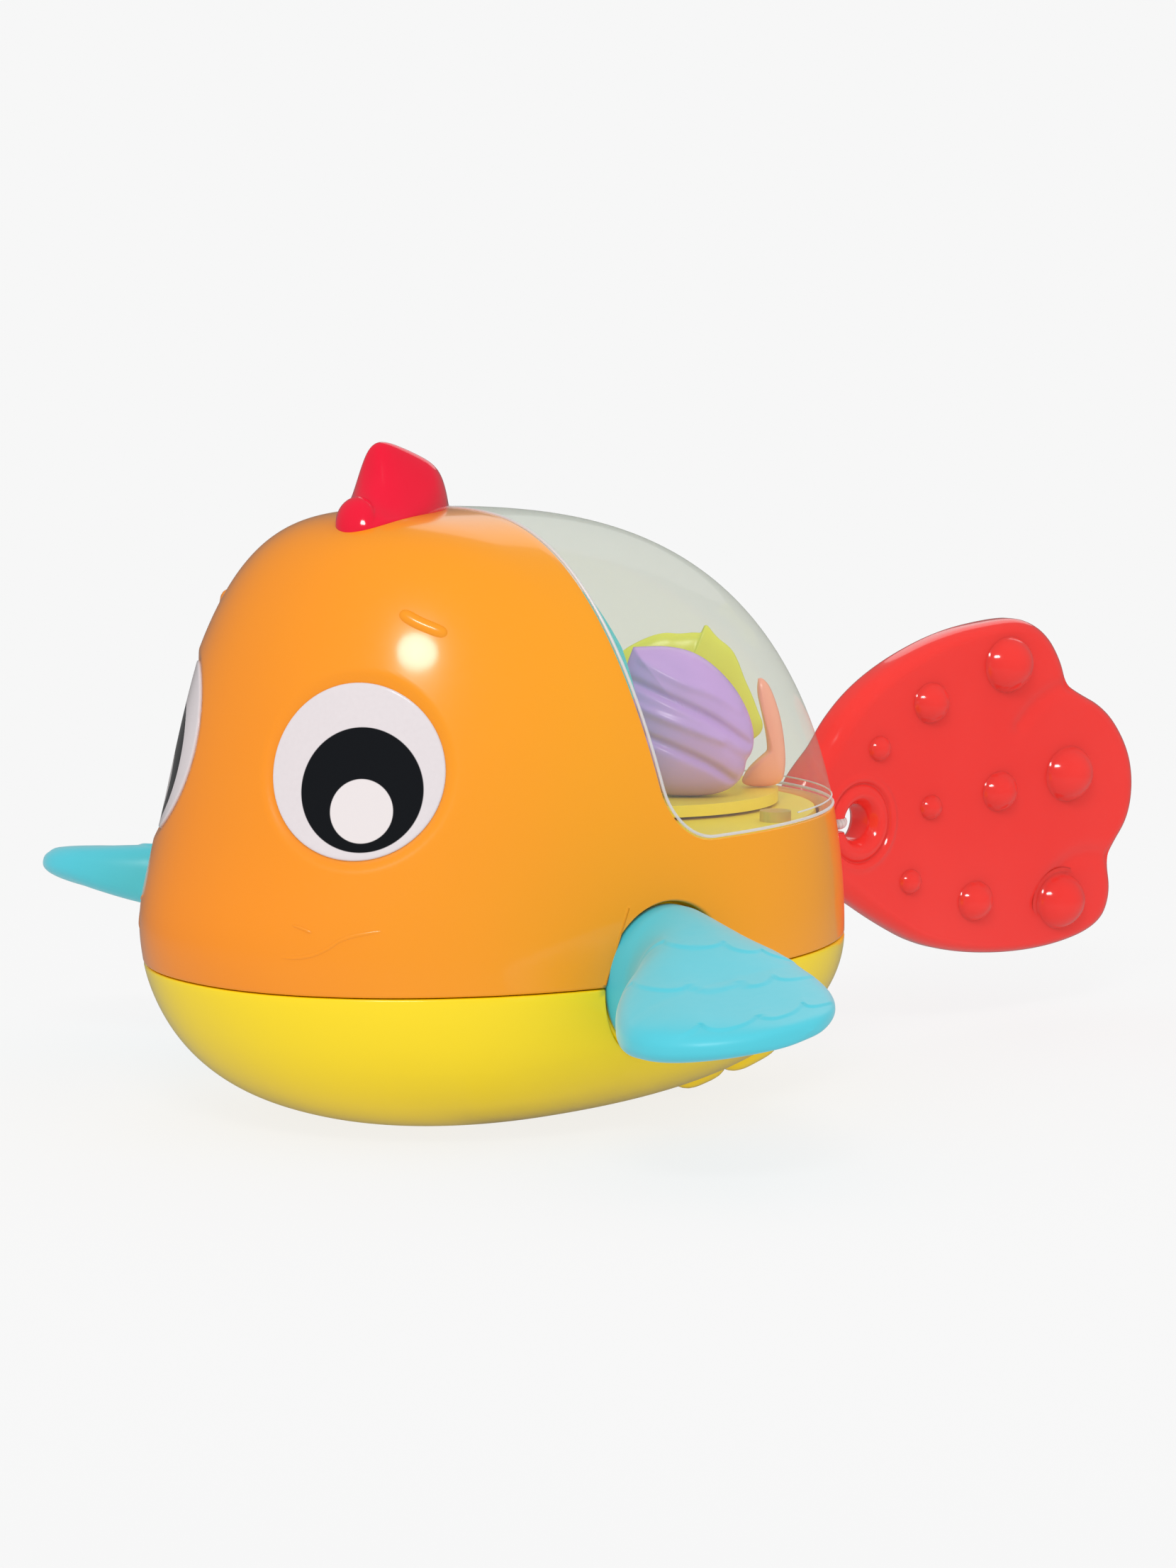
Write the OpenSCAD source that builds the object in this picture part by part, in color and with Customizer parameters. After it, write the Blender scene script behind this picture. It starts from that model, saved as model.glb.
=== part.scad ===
// Pull-cord paddling bath fish.
// +X is forwards, +Y is the fish's left and +Z is up. The origin is on the flat of the belly,
// under the widest section of the body.

/* [Body] */
// Reach of the body ahead of its widest section
body_front = 55.3; // [50:0.1:62]
// Reach of the body behind its widest section
body_rear = 59.6; // [56:0.1:66]
// Half of the body's greatest width
body_half_w = 43.3; // [40:0.1:50]
// Height of the orange hood above the seam
hood_h = 67.5; // [62:0.5:76]
// Height of the seam above the flat of the belly
hull_h = 24.2; // [23:0.1:28]
// Depth that the flat of the belly takes off the round
belly_cut = 0.4; // [0.2:0.1:1]
// How far the crown lies ahead of the widest section
crown_ahead = 17.8; // [12:0.1:22]
// How far the keel lies ahead of the widest section
keel_ahead = 8.9; // [4:0.1:14]
// Forward bulge of the muzzle
muzzle_bulge = 3.7; // [0:0.1:5]
// Height of the muzzle's centre above the seam
muzzle_z = 6.8; // [4:0.1:10]
// Height over which the muzzle's bulge fades
muzzle_band = 10.2; // [7:0.1:14]
// Wall of the hull and the hood
wall = 2.4; // [1.8:0.1:3]

/* [Face] */
// Diameter of an eye
eye_d = 25.9; // [20:0.1:30]
// Thickness of the printed eye
eye_t = 0.4; // [0.2:0.1:0.8]
// Radius of the moulded brow ridge
brow_r = 1; // [0.6:0.1:1.5]

/* [Window] */
// Height of the window's lower edge above the seam
window_z = 20.1; // [18:0.1:21.5]
// Where the window's front edge meets the level of its lower edge
window_x = 0.3; // [-4:0.1:4]
// Forward lean of the window's front edge, in degrees
window_lean = 9.4; // [4:0.1:14]
// Radius of the window's lower front corner
window_corner_r = 10; // [4:0.5:14]
// Wall of the clear window
window_wall = 2; // [1.5:0.1:2.4]

/* [Crest] */
// Height of the crest's tip above the crown
crest_rise = 10.1; // [7:0.1:14]
// Where the crest starts, at its front bump
crest_front_x = 30.6; // [27:0.1:33]
// Length of the crest's foot
crest_l = 21.7; // [18:0.1:24]
// Thickness of the crest
crest_w = 9.4; // [7:0.1:10]

/* [Paddles] */
// Place of the paddle axle along the body
axle_x = 2.2; // [0:0.1:4]
// Diameter of the paddle axle
axle_d = 4; // [3:0.1:5]
// Radius of the flipper's round root
root_r = 10.9; // [9:0.1:11.5]
// Radius of the arch that the hood leaves over the axle
arch_r = 11.8; // [11.6:0.1:12.5]
// How far a flipper reaches out from the body's side
flipper_reach = 42.3; // [38:0.1:50]
// Thickness of a flipper
flipper_t = 7.5; // [6:0.1:9]
// Height of the flipper's middle over the axle
flipper_lift = 1.6; // [0:0.1:3]
// Downward pitch of the left flipper at rest, in degrees
left_pitch = 3.4; // [0:0.1:10]
// Upward pitch of the right flipper at rest, in degrees
right_pitch = 15.4; // [5:0.1:25]

/* [Tail] */
// Height of the cord and the tail's eye above the seam
cord_z = 12.4; // [11:0.1:14]
// Height of the tail
tail_h = 56.6; // [50:0.1:62]
// Thickness of the tail
tail_t = 7; // [6:0.1:9]
// Radius of the tail's eye
tail_eye_r = 3.7; // [3:0.1:4.5]
// Diameter of the pull cord
cord_d = 1.5; // [1.2:0.1:2]
// Gap between the tail's nose and the body when the cord is in
tail_gap = 0.8; // [0.6:0.1:3]

/* [Drive] */
// Place of the drum and the turntable along the body
drum_x = -28; // [-29:0.1:-27]
// Height of the drum's axle above the seam
drum_lift = 0.3; // [-0.5:0.1:1]
// Teeth of the gear beside the drum
drum_teeth = 32; // [30:1:34]
// Teeth of the gear between the drum and the paddles
idler_teeth = 14; // [13:1:15]
// Teeth of the gear on the paddle axle
paddle_teeth = 16; // [15:1:17]
// Width of the drive gears
gear_w = 4; // [3:0.1:5]
// Teeth of the crown gear under the turntable
crown_teeth = 34; // [33:1:35]
// Teeth of the pinion that turns the crown gear
pinion_teeth = 28; // [27:1:29]
// Radius of the drum's core, under the cord
core_r = 7.75; // [7:0.05:8]
// Thickness of the deck and of the turntable
deck_t = 1.8; // [1.4:0.1:2.2]
// Radius of the turntable
table_r = 23; // [20:0.1:23.5]
// Height of the shell on the turntable
shell_h = 23; // [18:0.5:24]
// Width of the shell on the turntable
shell_w = 19; // [15:0.5:19.5]

/* [Fasteners] */
// Diameter of the body screws and the frame screws
screw_d = 2.6; // [2.2:0.1:3]
// Diameter of their heads
screw_head_d = 4.8; // [4.2:0.1:5.4]
// Diameter of the posts that they turn into
post_d = 7; // [6:0.1:8]

/* [Hidden] */
$fn = 48;

// Overrun of every cut
eps = 0.5;
// Clearances: parts that touch on one body, parts that run past each other, a shaft in its bore
seat_gap = 0.2;
run_gap = 0.5;
bore_gap = 0.05;
// Skin of the body: steps round it, and steps up the outside and the inside of each half
around = 64;
hood_rows = 14;
hull_rows = 10;
inner_rows = 8;
row_bias_share = 1.2;
// Powers that shape the skin: of its level sections, and of its front, rear and side profiles
section_share = 0.919;
hood_share = [0.621, 0.683, 0.689];
hull_share = [0.618, 0.671, 0.701];
hull_depth = hull_h + belly_cut;
// Steps of the skin's grid that an eye's patch spans
eye_cols = [0, 12];
eye_rows = [1, 10];
// Height angle and angle from the nose at the middle of an eye and at a brow's two ends
eye_at = [28.8, 32.1];
brow_at = [[53.9, 43.9], [50.4, 50.9]];
// Levels
seam_z = hull_h;
deck_top = seam_z + window_z - run_gap;
deck_bottom = deck_top - deck_t;
table_bottom = deck_top + run_gap;
table_top = table_bottom + deck_t;
cord_level = seam_z + cord_z;
drum_z = seam_z + drum_lift;
// Places across the body: the ears that carry the axle, their bushes and the flippers
side_y = body_half_w;
ear_t = 3;
ear_y = side_y - wall - ear_t + seat_gap;
bush_r = 4;
bush_flange_r = 5.6;
bush_flange_t = 1.2;
hub_y = ear_y + ear_t + run_gap;
flipper_y = side_y + run_gap;
axle_half_l = flipper_y + root_r;
// Front panel of the window's chamber, and the deck's reach and front ledges
backdrop_t = 1.6;
deck_lead = 6;
deck_front = window_x + deck_lead;
ledge_l = 8;
ledge_w = 4;
// Crown gear: its pitch plane touches the top of the pinion, and both take their module from it
crown_disc_t = 1.6;
crown_disc_z = deck_bottom - run_gap - crown_disc_t;
crown_depth = 1.4;
pinion_r = crown_disc_z - crown_depth - drum_z;
crown_m = 2 * pinion_r / pinion_teeth;
crown_r = crown_m * crown_teeth / 2;
crown_face = 2.4;
crown_dip_share = 0.5;
spindle_r = 2;
// Drive frame
plate_t = 2;
plate_y = crown_r + crown_face / 2 + run_gap;
frame_floor_t = 2;
frame_floor_z = drum_z - pinion_r - crown_m - run_gap - frame_floor_t;
frame_tail = 13;
frame_nose = 11;
frame_rear = drum_x - frame_tail;
frame_front = axle_x + frame_nose;
boss_r = 5;
shaft_d = 3;
// Drum and mainspring
drum_r = core_r + cord_d / 2;
flange_rise = 3.2;
flange_r = core_r + flange_rise;
flange_t = 1;
drum_half_w = 2 * cord_d + flange_t;
gear_y = -8;
case_w = 6.6;
case_left = gear_y - gear_w / 2 - run_gap;
case_y = [case_left - case_w, case_left];
case_r = 11;
case_wall = 1.2;
spring_turns = 7;
spring_steps = 24;
spring_t = 0.35;
arbor_r = 3;
// Gear train: the module makes the three gears span the shafts with the idler just off the line
tooth_play = 0.16;
pressure_angle = 20;
train_slack_share = 1.006;
drum_c = [drum_x, drum_z];
axle_c = [axle_x, seam_z];
span = norm(axle_c - drum_c);
span_turn = atan2(axle_c[1] - drum_c[1], axle_c[0] - drum_c[0]);
gear_m = train_slack_share * 2 * span / (drum_teeth + 2 * idler_teeth + paddle_teeth);
mesh_1 = gear_m * (drum_teeth + idler_teeth) / 2;
mesh_2 = gear_m * (idler_teeth + paddle_teeth) / 2;
idler_lift = acos((mesh_1 * mesh_1 + span * span - mesh_2 * mesh_2) / (2 * mesh_1 * span));
idler_c = drum_c + mesh_1 * [cos(span_turn + idler_lift), sin(span_turn + idler_lift)];
line_1 = atan2(idler_c[1] - drum_c[1], idler_c[0] - drum_c[0]);
line_2 = atan2(axle_c[1] - idler_c[1], axle_c[0] - idler_c[0]);
idler_turn = line_1 + 180 + 180 / idler_teeth + line_1 * drum_teeth / idler_teeth;
paddle_turn = line_2 + 180 + 180 / paddle_teeth - (idler_turn - line_2) * idler_teeth / paddle_teeth;
// Cord: from the drum's top to the eyelet, then straight back into the tail
rear_x = skin(asin(cord_z / hood_h), 180)[0];
eyelet_r = 2.2;
eyelet_lip = 0.4;
eyelet_flange_r = 3.2;
eyelet_flange_t = 1;
eyelet_bend = 1;
eyelet_out = rear_x - eyelet_lip;
eyelet_flange_x = skin(asin((cord_z + eyelet_flange_r) / hood_h), 180, wall)[0] + seat_gap;
eyelet_in = eyelet_flange_x + eyelet_flange_t;
eyelet_c = [eyelet_in + eyelet_bend, cord_level];
lead = eyelet_c - drum_c;
leave_turn = atan2(lead[1], lead[0]) - acos(drum_r / norm(lead));
leave_c = drum_c + drum_r * [cos(leave_turn), sin(leave_turn)];
leave_gap = 6;
elbow_share = 1.06;
// Tail outline: circles with a skin drawn round them, then one lobe that stands out behind; each
// is its place behind the eye, its place above the eye and its radius, in shares of tail_h
tail_round_share = [
    [0, 0, 0.245], [0.345, 0.09, 0.431], [0.435, -0.105, 0.339], [0.661, 0.36, 0.188],
    [0.953, -0.308, 0.141]
];
tail_lobe_share = [0.908, 0.06, 0.275];
// Domes on both faces of the tail, in the same shares
dome_share = [
    [0.09, 0.211, 0.036], [0.3, 0.023, 0.036], [0.22, -0.188, 0.036],
    [0.296, 0.328, 0.059], [0.582, 0.046, 0.059], [0.488, -0.271, 0.059],
    [0.612, 0.418, 0.082], [0.874, 0.074, 0.082], [0.849, -0.307, 0.082]
];
dome_rise_share = 0.45;
// How far each layer of the tail's round edge is drawn in, in shares of its thickness
edge_share = [0.36, 0.14, 0.04, 0, 0.04, 0.14, 0.36];
ring_r = 1.1;
groove_w = 2.2;
tail_x = rear_x - tail_gap - tail_round_share[0][2] * tail_h;
knot_r = 1.5;
knot_set = 0.9;
knot_x = tail_x + tail_eye_r - knot_set;
// Flipper blade: its four round corners, as their place ahead of the axle, their place out from
// the side and their radius, in shares of flipper_reach
blade_share = [
    [0.491, 0.731, 0.248], [0.191, 0.738, 0.261], [0.342, 0.472, 0.245], [0.17, 0.502, 0.231]
];
rim_share = 0.42;
root_face = 1.3;
// Fins under the hull: front and rear ball of each lobe, behind the origin and above the belly
fin_y = 10;
fin_balls = [[[-29, 3.3], [-36.5, 6.2]], [[-40, 4.1], [-47, 7.6]]];
fin_r = 3.5;
// Screws: front and rear body screws, and the frame's screws
post_share = [0.615, 0.554];
rear_post_x = drum_x - post_d / 3;
rear_post_y = half_width(asin(window_z / hood_h), rear_post_x) - wall - post_d / 2;
body_post_at = [[body_front * post_share[0], body_half_w * post_share[1]], [rear_post_x, rear_post_y]];
frame_post_reach = 6;
frame_post_y = 14;
frame_post_at = [
    [axle_x + frame_post_reach, frame_post_y], [axle_x + frame_post_reach, -frame_post_y],
    [drum_x + frame_post_reach, 0]
];
head_h = 1.6;
screw_bite = 9;
short_bite = 4.5;
seat_z = 12;
// Figures on the turntable: distance from its axis and turn about it
shell_orbit = [13.6, 88];
shell_tilt = 20;
shell_whorls = 5;
shell_steps = 30;
figure_room = seam_z + hood_h - table_top;
star_orbit = [11.7, 211];
star_r = figure_room * 0.263;
star_turn = -40;
coral_orbit = [18.8, 140];
coral_h = figure_room * 0.329;
coral_r = coral_h * 0.153;

// Skin of the body

function signed_power(v, e) = sign(v) * pow(abs(v), e);

// The skin at a height angle and at an angle round from the nose, both in degrees, drawn in by
// an inset. Its level sections are near-ellipses that shrink as powers of the angle's cosine.
function skin(t, u, inset = 0) =
    let (
        c = max(cos(t), 0),
        s = sin(t),
        shape = t >= 0 ? hood_share : hull_share,
        ahead = (t >= 0 ? crown_ahead : keel_ahead) * s * s,
        across = signed_power(sin(u), section_share),
        along = signed_power(cos(u), section_share),
        front = (body_front - inset - ahead) * pow(c, shape[0]),
        rear = (body_rear - inset + ahead) * pow(c, shape[1]),
        side = (body_half_w - inset) * pow(c, shape[2]),
        z = ((t >= 0 ? hood_h : hull_depth) - inset) * s,
        swell = exp(-pow((z - muzzle_z) / muzzle_band, 2)) * pow(max(cos(u), 0), 4)
    )
    [ahead + (along > 0 ? front : rear) * along + muzzle_bulge * swell, side * across, seam_z + z];

// Half of the body's width at a height angle and at a place behind the widest section
function half_width(t, x) =
    let (
        ahead = crown_ahead * pow(sin(t), 2),
        turn = pow((ahead - x) / (ahead - skin(t, 180)[0]), 1 / section_share)
    )
    skin(t, 90)[1] * pow(1 - turn * turn, section_share / 2);

function skin_normal(t, u) =
    let (
        step = 1,
        a = skin(t, u + step) - skin(t, u - step),
        b = skin(t + step, u) - skin(t - step, u),
        n = cross(a, b)
    )
    n / norm(n);

// Height angle of a row of the hood's grid, closer together towards the crown
function row_t(i, rows) = 90 * (1 - pow(1 - i / rows, row_bias_share));

function ring_points(t, inset) = [for (j = [0:around - 1]) skin(t, j * 360 / around, inset)];

// Triangles between two rings of points, seen clockwise from outside where side is 1
function band(a, b, side) = [
    for (j = [0:around - 1])
        let (k = (j + 1) % around)
        for (f = [[a + j, b + j, b + k], [a + j, b + k, a + k]]) side > 0 ? f : [f[2], f[1], f[0]]
];

function fan(a, tip, side) = [
    for (j = [0:around - 1])
        let (k = (j + 1) % around)
        side > 0 ? [a + j, tip, a + k] : [a + k, tip, a + j]
];

// A half of the body as a closed wall: rings up the outside, rings up the inside, and the rim
// between them at the seam. dir is 1 for the hood and -1 for the hull, whose last ring is flat.
module half_shell(dir, thickness, out_rows) {
    end_t = dir > 0 ? row_t(out_rows - 1, out_rows) : asin(hull_h / hull_depth);
    squeeze = end_t / row_t(out_rows - 1, out_rows);
    out_t = [for (i = [0:out_rows - 1]) dir * row_t(i, out_rows) * squeeze];
    in_t = [for (i = [0:inner_rows - 1]) dir * row_t(i, inner_rows)];
    points = concat(
        [for (t = out_t) each ring_points(t, 0)],
        [for (t = in_t) each ring_points(t, thickness)],
        [dir > 0 ? skin(90, 0) : [keel_ahead, 0, 0], skin(dir * 90, 0, thickness)]
    );
    inner = out_rows * around;
    tips = (out_rows + inner_rows) * around;
    faces = concat(
        [for (i = [0:out_rows - 2]) each band(i * around, (i + 1) * around, dir)],
        fan(inner - around, tips, dir),
        [for (i = [0:inner_rows - 2]) each band(inner + i * around, inner + (i + 1) * around, -dir)],
        fan(tips - around, tips + 1, -dir),
        band(0, inner, -dir)
    );
    polyhedron(points, faces, convexity = 6);
}

// A solid of the room inside a half of the body, drawn in by an inset
module half_room(dir, inset, rows) {
    levels = [for (i = [0:rows - 1]) dir * row_t(i, rows)];
    points = concat(
        [for (t = levels) each ring_points(t, inset)],
        [skin(dir * 90, 0, inset), [0, 0, seam_z]]
    );
    faces = concat(
        [for (i = [0:rows - 2]) each band(i * around, (i + 1) * around, dir)],
        fan((rows - 1) * around, rows * around, dir),
        fan(0, rows * around + 1, -dir)
    );
    polyhedron(points, faces, convexity = 4);
}

// Drawing in the side view: x stays x and the drawing's y becomes z
module side_slab(y_from, y_to) {
    translate([0, y_to, 0])
        rotate([90, 0, 0])
            linear_extrude(y_to - y_from)
                children();
}

module side_disc(c, r, y_from, y_to) {
    translate([c[0], y_to, c[1]])
        rotate([90, 0, 0])
            cylinder(r = r, h = y_to - y_from);
}

// Side view of the window: a leaning front edge and a level lower edge, with a round corner
module window_outline() {
    top = hood_h * 1.2;
    back = body_rear * 1.2;
    lean_x = window_x + (top - window_z) * tan(window_lean);
    intersection() {
        offset(r = window_corner_r)
            offset(delta = -window_corner_r)
                translate([0, seam_z])
                    polygon([[window_x, window_z], [lean_x, top], [-back, top], [-back, window_z]]);
        translate([-body_rear * 1.1, seam_z])
            square([body_rear * 1.1 + body_front, hood_h * 1.1]);
    }
}

module window_zone(grow) {
    side_slab(-side_y - eps, side_y + eps)
        offset(delta = grow)
            window_outline();
}

// Casing

module screw_hole_from_below(at, head_to, hole_to) {
    translate([at[0], at[1], -eps]) {
        cylinder(d = screw_d + 2 * bore_gap, h = hole_to + eps);
        cylinder(d = screw_head_d + 2 * seat_gap, h = head_to + eps);
    }
}

module lower_hull() {
    color("gold")
        difference() {
            union() {
                half_shell(-1, wall, hull_rows);
                intersection() {
                    union() {
                        hull_posts();
                        hull_ear(ear_y);
                        hull_ear(-ear_y - ear_t);
                    }
                    union() {
                        half_room(-1, wall / 2, inner_rows);
                        translate([axle_x - arch_r, -side_y, seam_z - eps])
                            cube([2 * arch_r, 2 * side_y, 2 * arch_r]);
                    }
                }
                belly_fins();
            }
            for (p = body_post_at, s = [-1, 1])
                screw_hole_from_below([p[0], s * p[1]], seat_z, seam_z + eps);
            for (p = frame_post_at)
                translate([p[0], p[1], frame_floor_z - short_bite])
                    cylinder(d = screw_d, h = 2 * short_bite);
            side_disc(axle_c, arch_r, ear_y + ear_t, side_y + eps);
            side_disc(axle_c, arch_r, -side_y - eps, -ear_y - ear_t);
            side_disc(axle_c, bush_r, -side_y, side_y);
        }
}

module hull_posts() {
    for (p = body_post_at, s = [-1, 1])
        translate([p[0], s * p[1], 0])
            cylinder(d = post_d, h = seam_z);
    for (p = frame_post_at)
        translate([p[0], p[1], 0])
            cylinder(d = post_d, h = frame_floor_z);
}

// An ear that stands up into the hood's arch, carries the axle's bush and closes the arch
module hull_ear(y) {
    half_w = arch_r + wall;
    side_disc(axle_c, arch_r - seat_gap, y, y + ear_t);
    translate([axle_x - half_w, y, seam_z - half_w])
        cube([2 * half_w, ear_t, half_w]);
}

// A pair of two-lobed fins under the rear of the belly, flat where the fish rests on them
module belly_fins() {
    difference() {
        for (s = [-1, 1], lobe = fin_balls)
            hull()
                for (b = lobe)
                    translate([b[0], s * fin_y, b[1]])
                        sphere(r = fin_r, $fn = 16);
        translate([-body_rear, -side_y, -2 * fin_r])
            cube([body_rear, 2 * side_y, 2 * fin_r]);
        half_room(-1, wall / 2, inner_rows);
    }
}

module hood() {
    color("darkorange")
        difference() {
            union() {
                half_shell(1, wall, hood_rows);
                intersection() {
                    hood_posts();
                    half_room(1, wall / 2, inner_rows);
                }
                brow(1);
                brow(-1);
            }
            window_zone(seat_gap);
            side_disc(axle_c, arch_r, -side_y - eps, side_y + eps);
            for (p = body_post_at, s = [-1, 1])
                translate([p[0], s * p[1], seam_z - eps])
                    cylinder(d = screw_d, h = screw_bite + eps);
            for (s = [-1, 1])
                translate([body_post_at[1][0], s * body_post_at[1][1], deck_bottom - short_bite])
                    cylinder(d = screw_d, h = short_bite + eps);
            translate([rear_x - eps, 0, cord_level])
                rotate([0, 90, 0])
                    cylinder(r = eyelet_r + bore_gap, h = 2 * wall + eps);
        }
}

// Posts for the body screws with webs to the wall, of which the rear pair also carries the deck,
// and the two ledges under the deck's front
module hood_posts() {
    heights = [screw_bite + wall, deck_bottom - seam_z];
    for (i = [0, 1], s = [-1, 1])
        translate([body_post_at[i][0], s * body_post_at[i][1], seam_z]) {
            cylinder(d = post_d, h = heights[i]);
            translate([-wall / 2, s > 0 ? 0 : -side_y, 0])
                cube([wall, side_y, heights[i]]);
        }
    ledge_y = skin(asin(window_z / hood_h), 90)[1] - wall - ledge_w;
    for (s = [-1, 1])
        translate([window_x - ledge_l / 2, s > 0 ? ledge_y : -side_y, deck_bottom - ledge_w])
            cube([ledge_l, side_y - ledge_y, ledge_w]);
}

module brow(s) {
    hull()
        for (b = brow_at)
            translate([skin(b[0], b[1])[0], s * skin(b[0], b[1])[1], skin(b[0], b[1])[2]])
                sphere(r = brow_r, $fn = 16);
}

module window() {
    color("honeydew", 0.5)
        intersection() {
            half_shell(1, window_wall, hood_rows);
            window_zone(0);
        }
}

// An eye is a round cut from a thin patch that lies on the hood's own facets
module eye(s) {
    rows = [for (i = [eye_rows[0]:eye_rows[1]]) row_t(i, hood_rows)];
    cols = [for (j = [eye_cols[0]:eye_cols[1]]) s * j * 360 / around];
    nr = len(rows);
    nc = len(cols);
    under = [for (t = rows, u = cols) skin(t, u)];
    over = [for (t = rows, u = cols) skin(t, u) + eye_lift(t, u, s)];
    top = nr * nc;
    quads = [
        for (i = [0:nr - 2], j = [0:nc - 2])
            let (a = i * nc + j, b = a + nc)
            each [[a, a + 1, b + 1], [a, b + 1, b]]
    ];
    edge = concat(
        [for (j = [0:nc - 2]) [j, j + 1]],
        [for (i = [0:nr - 2]) [i * nc + nc - 1, (i + 1) * nc + nc - 1]],
        [for (j = [nc - 1:-1:1]) [(nr - 1) * nc + j, (nr - 1) * nc + j - 1]],
        [for (i = [nr - 1:-1:1]) [i * nc, (i - 1) * nc]]
    );
    faces = concat(
        quads,
        [for (q = quads) [q[2] + top, q[1] + top, q[0] + top]],
        [for (e = edge) each [[e[0], e[0] + top, e[1] + top], [e[0], e[1] + top, e[1]]]]
    );
    intersection() {
        polyhedron(
            concat(under, over),
            s > 0 ? faces : [for (f = faces) [f[2], f[1], f[0]]],
            convexity = 4
        );
        translate(skin(eye_at[0], s * eye_at[1]))
            aim(eye_lift(eye_at[0], s * eye_at[1], s))
                cylinder(d = eye_d, h = eye_d / 2, center = true);
    }
}

// The way out of the skin, as long as the printed eye is thick
function eye_lift(t, u, s) =
    let (n = skin_normal(t, abs(u)))
    eye_t * [n[0], s * n[1], n[2]];

// Turns the Z axis of its children to a direction
module aim(v) {
    rotate([0, acos(v[2] / norm(v)), atan2(v[1], v[0])])
        children();
}

module left_eye() {
    color("white")
        eye(1);
}

module right_eye() {
    color("white")
        eye(-1);
}

// The crest: a front foot, and a taller peak that leans back over its rear
module crest() {
    crown = skin(90, 0)[2];
    half_w = crest_w / 2;
    peak_r = crest_w / 3;
    color("crimson")
        difference() {
            union() {
                hull() {
                    crest_ball(0.38, crown + crest_rise - peak_r, peak_r);
                    crest_ball(0.77, crown + crest_w / 4, half_w);
                    crest_ball(0.4, crown, half_w);
                }
                hull() {
                    crest_ball(0.2, crown - half_w / 3, half_w * 0.95);
                    crest_ball(0.4, crown, half_w);
                }
            }
            half_room(1, 0, hood_rows);
        }
}

module crest_ball(back_share, z, r) {
    translate([crest_front_x - crest_l * back_share, 0, z])
        sphere(r = r, $fn = 24);
}

// How far ahead the window's front edge is, at a height above the seam
function window_front(z) = window_x + (z - window_z) * tan(window_lean);

// The panel that closes the window's chamber in front, along the window's leaning edge
module backdrop() {
    low = window_front(deck_top - seam_z);
    high = window_front(hood_h);
    color("mediumturquoise")
        intersection() {
            side_slab(-side_y, side_y)
                polygon([
                    [low - backdrop_t, deck_top], [low, deck_top],
                    [high, seam_z + hood_h], [high - backdrop_t, seam_z + hood_h]
                ]);
            half_room(1, wall + seat_gap, inner_rows);
        }
}

// The deck under the window, out to the wall, with the turntable's bearing
module deck() {
    color("gold")
        difference() {
            intersection() {
                translate([-body_rear, -side_y, deck_bottom])
                    cube([body_rear + deck_front, 2 * side_y, deck_t]);
                half_room(1, wall + seat_gap, inner_rows);
            }
            translate([drum_x, 0, deck_bottom - eps])
                cylinder(r = spindle_r + bore_gap, h = deck_t + 2 * eps);
            for (s = [-1, 1])
                translate([body_post_at[1][0], s * body_post_at[1][1], deck_bottom - eps])
                    cylinder(d = screw_d, h = deck_t + 2 * eps);
        }
}

// A pan-head screw that points up, with its head's seat at the origin
module screw(l) {
    translate([0, 0, -head_h])
        cylinder(d = screw_head_d, h = head_h);
    cylinder(d = screw_d - 2 * bore_gap, h = l);
}

module body_screws() {
    color("silver")
        for (p = body_post_at, s = [-1, 1])
            translate([p[0], s * p[1], seat_z])
                screw(seam_z - seat_z + screw_bite - eps);
}

module deck_screws() {
    color("silver")
        for (s = [-1, 1])
            translate([body_post_at[1][0], s * body_post_at[1][1], deck_top])
                rotate([180, 0, 0])
                    screw(deck_t + short_bite - eps);
}

// Drive frame: a floor and two side plates that carry the shafts, trimmed to the hull's inside
module drive_frame() {
    l = frame_front - frame_rear;
    outer_y = plate_y + plate_t;
    color("white")
        difference() {
            intersection() {
                union() {
                    translate([frame_rear, -outer_y, frame_floor_z])
                        cube([l, 2 * outer_y, frame_floor_t]);
                    for (y = [-outer_y, plate_y])
                        side_slab(y, y + plate_t)
                            plate_outline();
                }
                union() {
                    half_room(-1, wall + seat_gap, inner_rows);
                    translate([frame_rear, -outer_y, seam_z - eps])
                        cube([l, 2 * outer_y, hood_h / 2]);
                }
            }
            side_disc(drum_c, shaft_d / 2 + bore_gap, -side_y, side_y);
            side_disc(axle_c, axle_d / 2 + bore_gap, -side_y, side_y);
            side_disc(idler_c, shaft_d / 2, -side_y, side_y);
            for (p = frame_post_at)
                translate([p[0], p[1], frame_floor_z - eps])
                    cylinder(d = screw_d, h = frame_floor_t + 2 * eps);
        }
}

// Side view of a side plate: a low wall with a round boss at each shaft
module plate_outline() {
    translate([frame_rear, frame_floor_z])
        square([frame_front - frame_rear, drum_z - frame_floor_z]);
    for (c = [drum_c, idler_c, axle_c])
        translate(c)
            circle(r = boss_r);
}

module frame_screws() {
    color("silver")
        for (p = frame_post_at)
            translate([p[0], p[1], frame_floor_z + frame_floor_t])
                rotate([180, 0, 0])
                    screw(frame_floor_t + short_bite - eps);
}

module bush(s) {
    inner = ear_y - bush_flange_t;
    color("ivory")
        difference() {
            union() {
                side_disc(axle_c, bush_r, s > 0 ? inner : -ear_y - ear_t, s > 0 ? ear_y + ear_t : -inner);
                side_disc(axle_c, bush_flange_r, s > 0 ? inner : -ear_y, s > 0 ? ear_y : -inner);
            }
            side_disc(axle_c, axle_d / 2 + bore_gap, -side_y, side_y);
        }
}

module left_bush() {
    bush(1);
}

module right_bush() {
    bush(-1);
}

module idler_pin() {
    color("silver")
        side_disc(idler_c, shaft_d / 2, -plate_y - plate_t - eps, plate_y + plate_t + eps);
}

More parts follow.
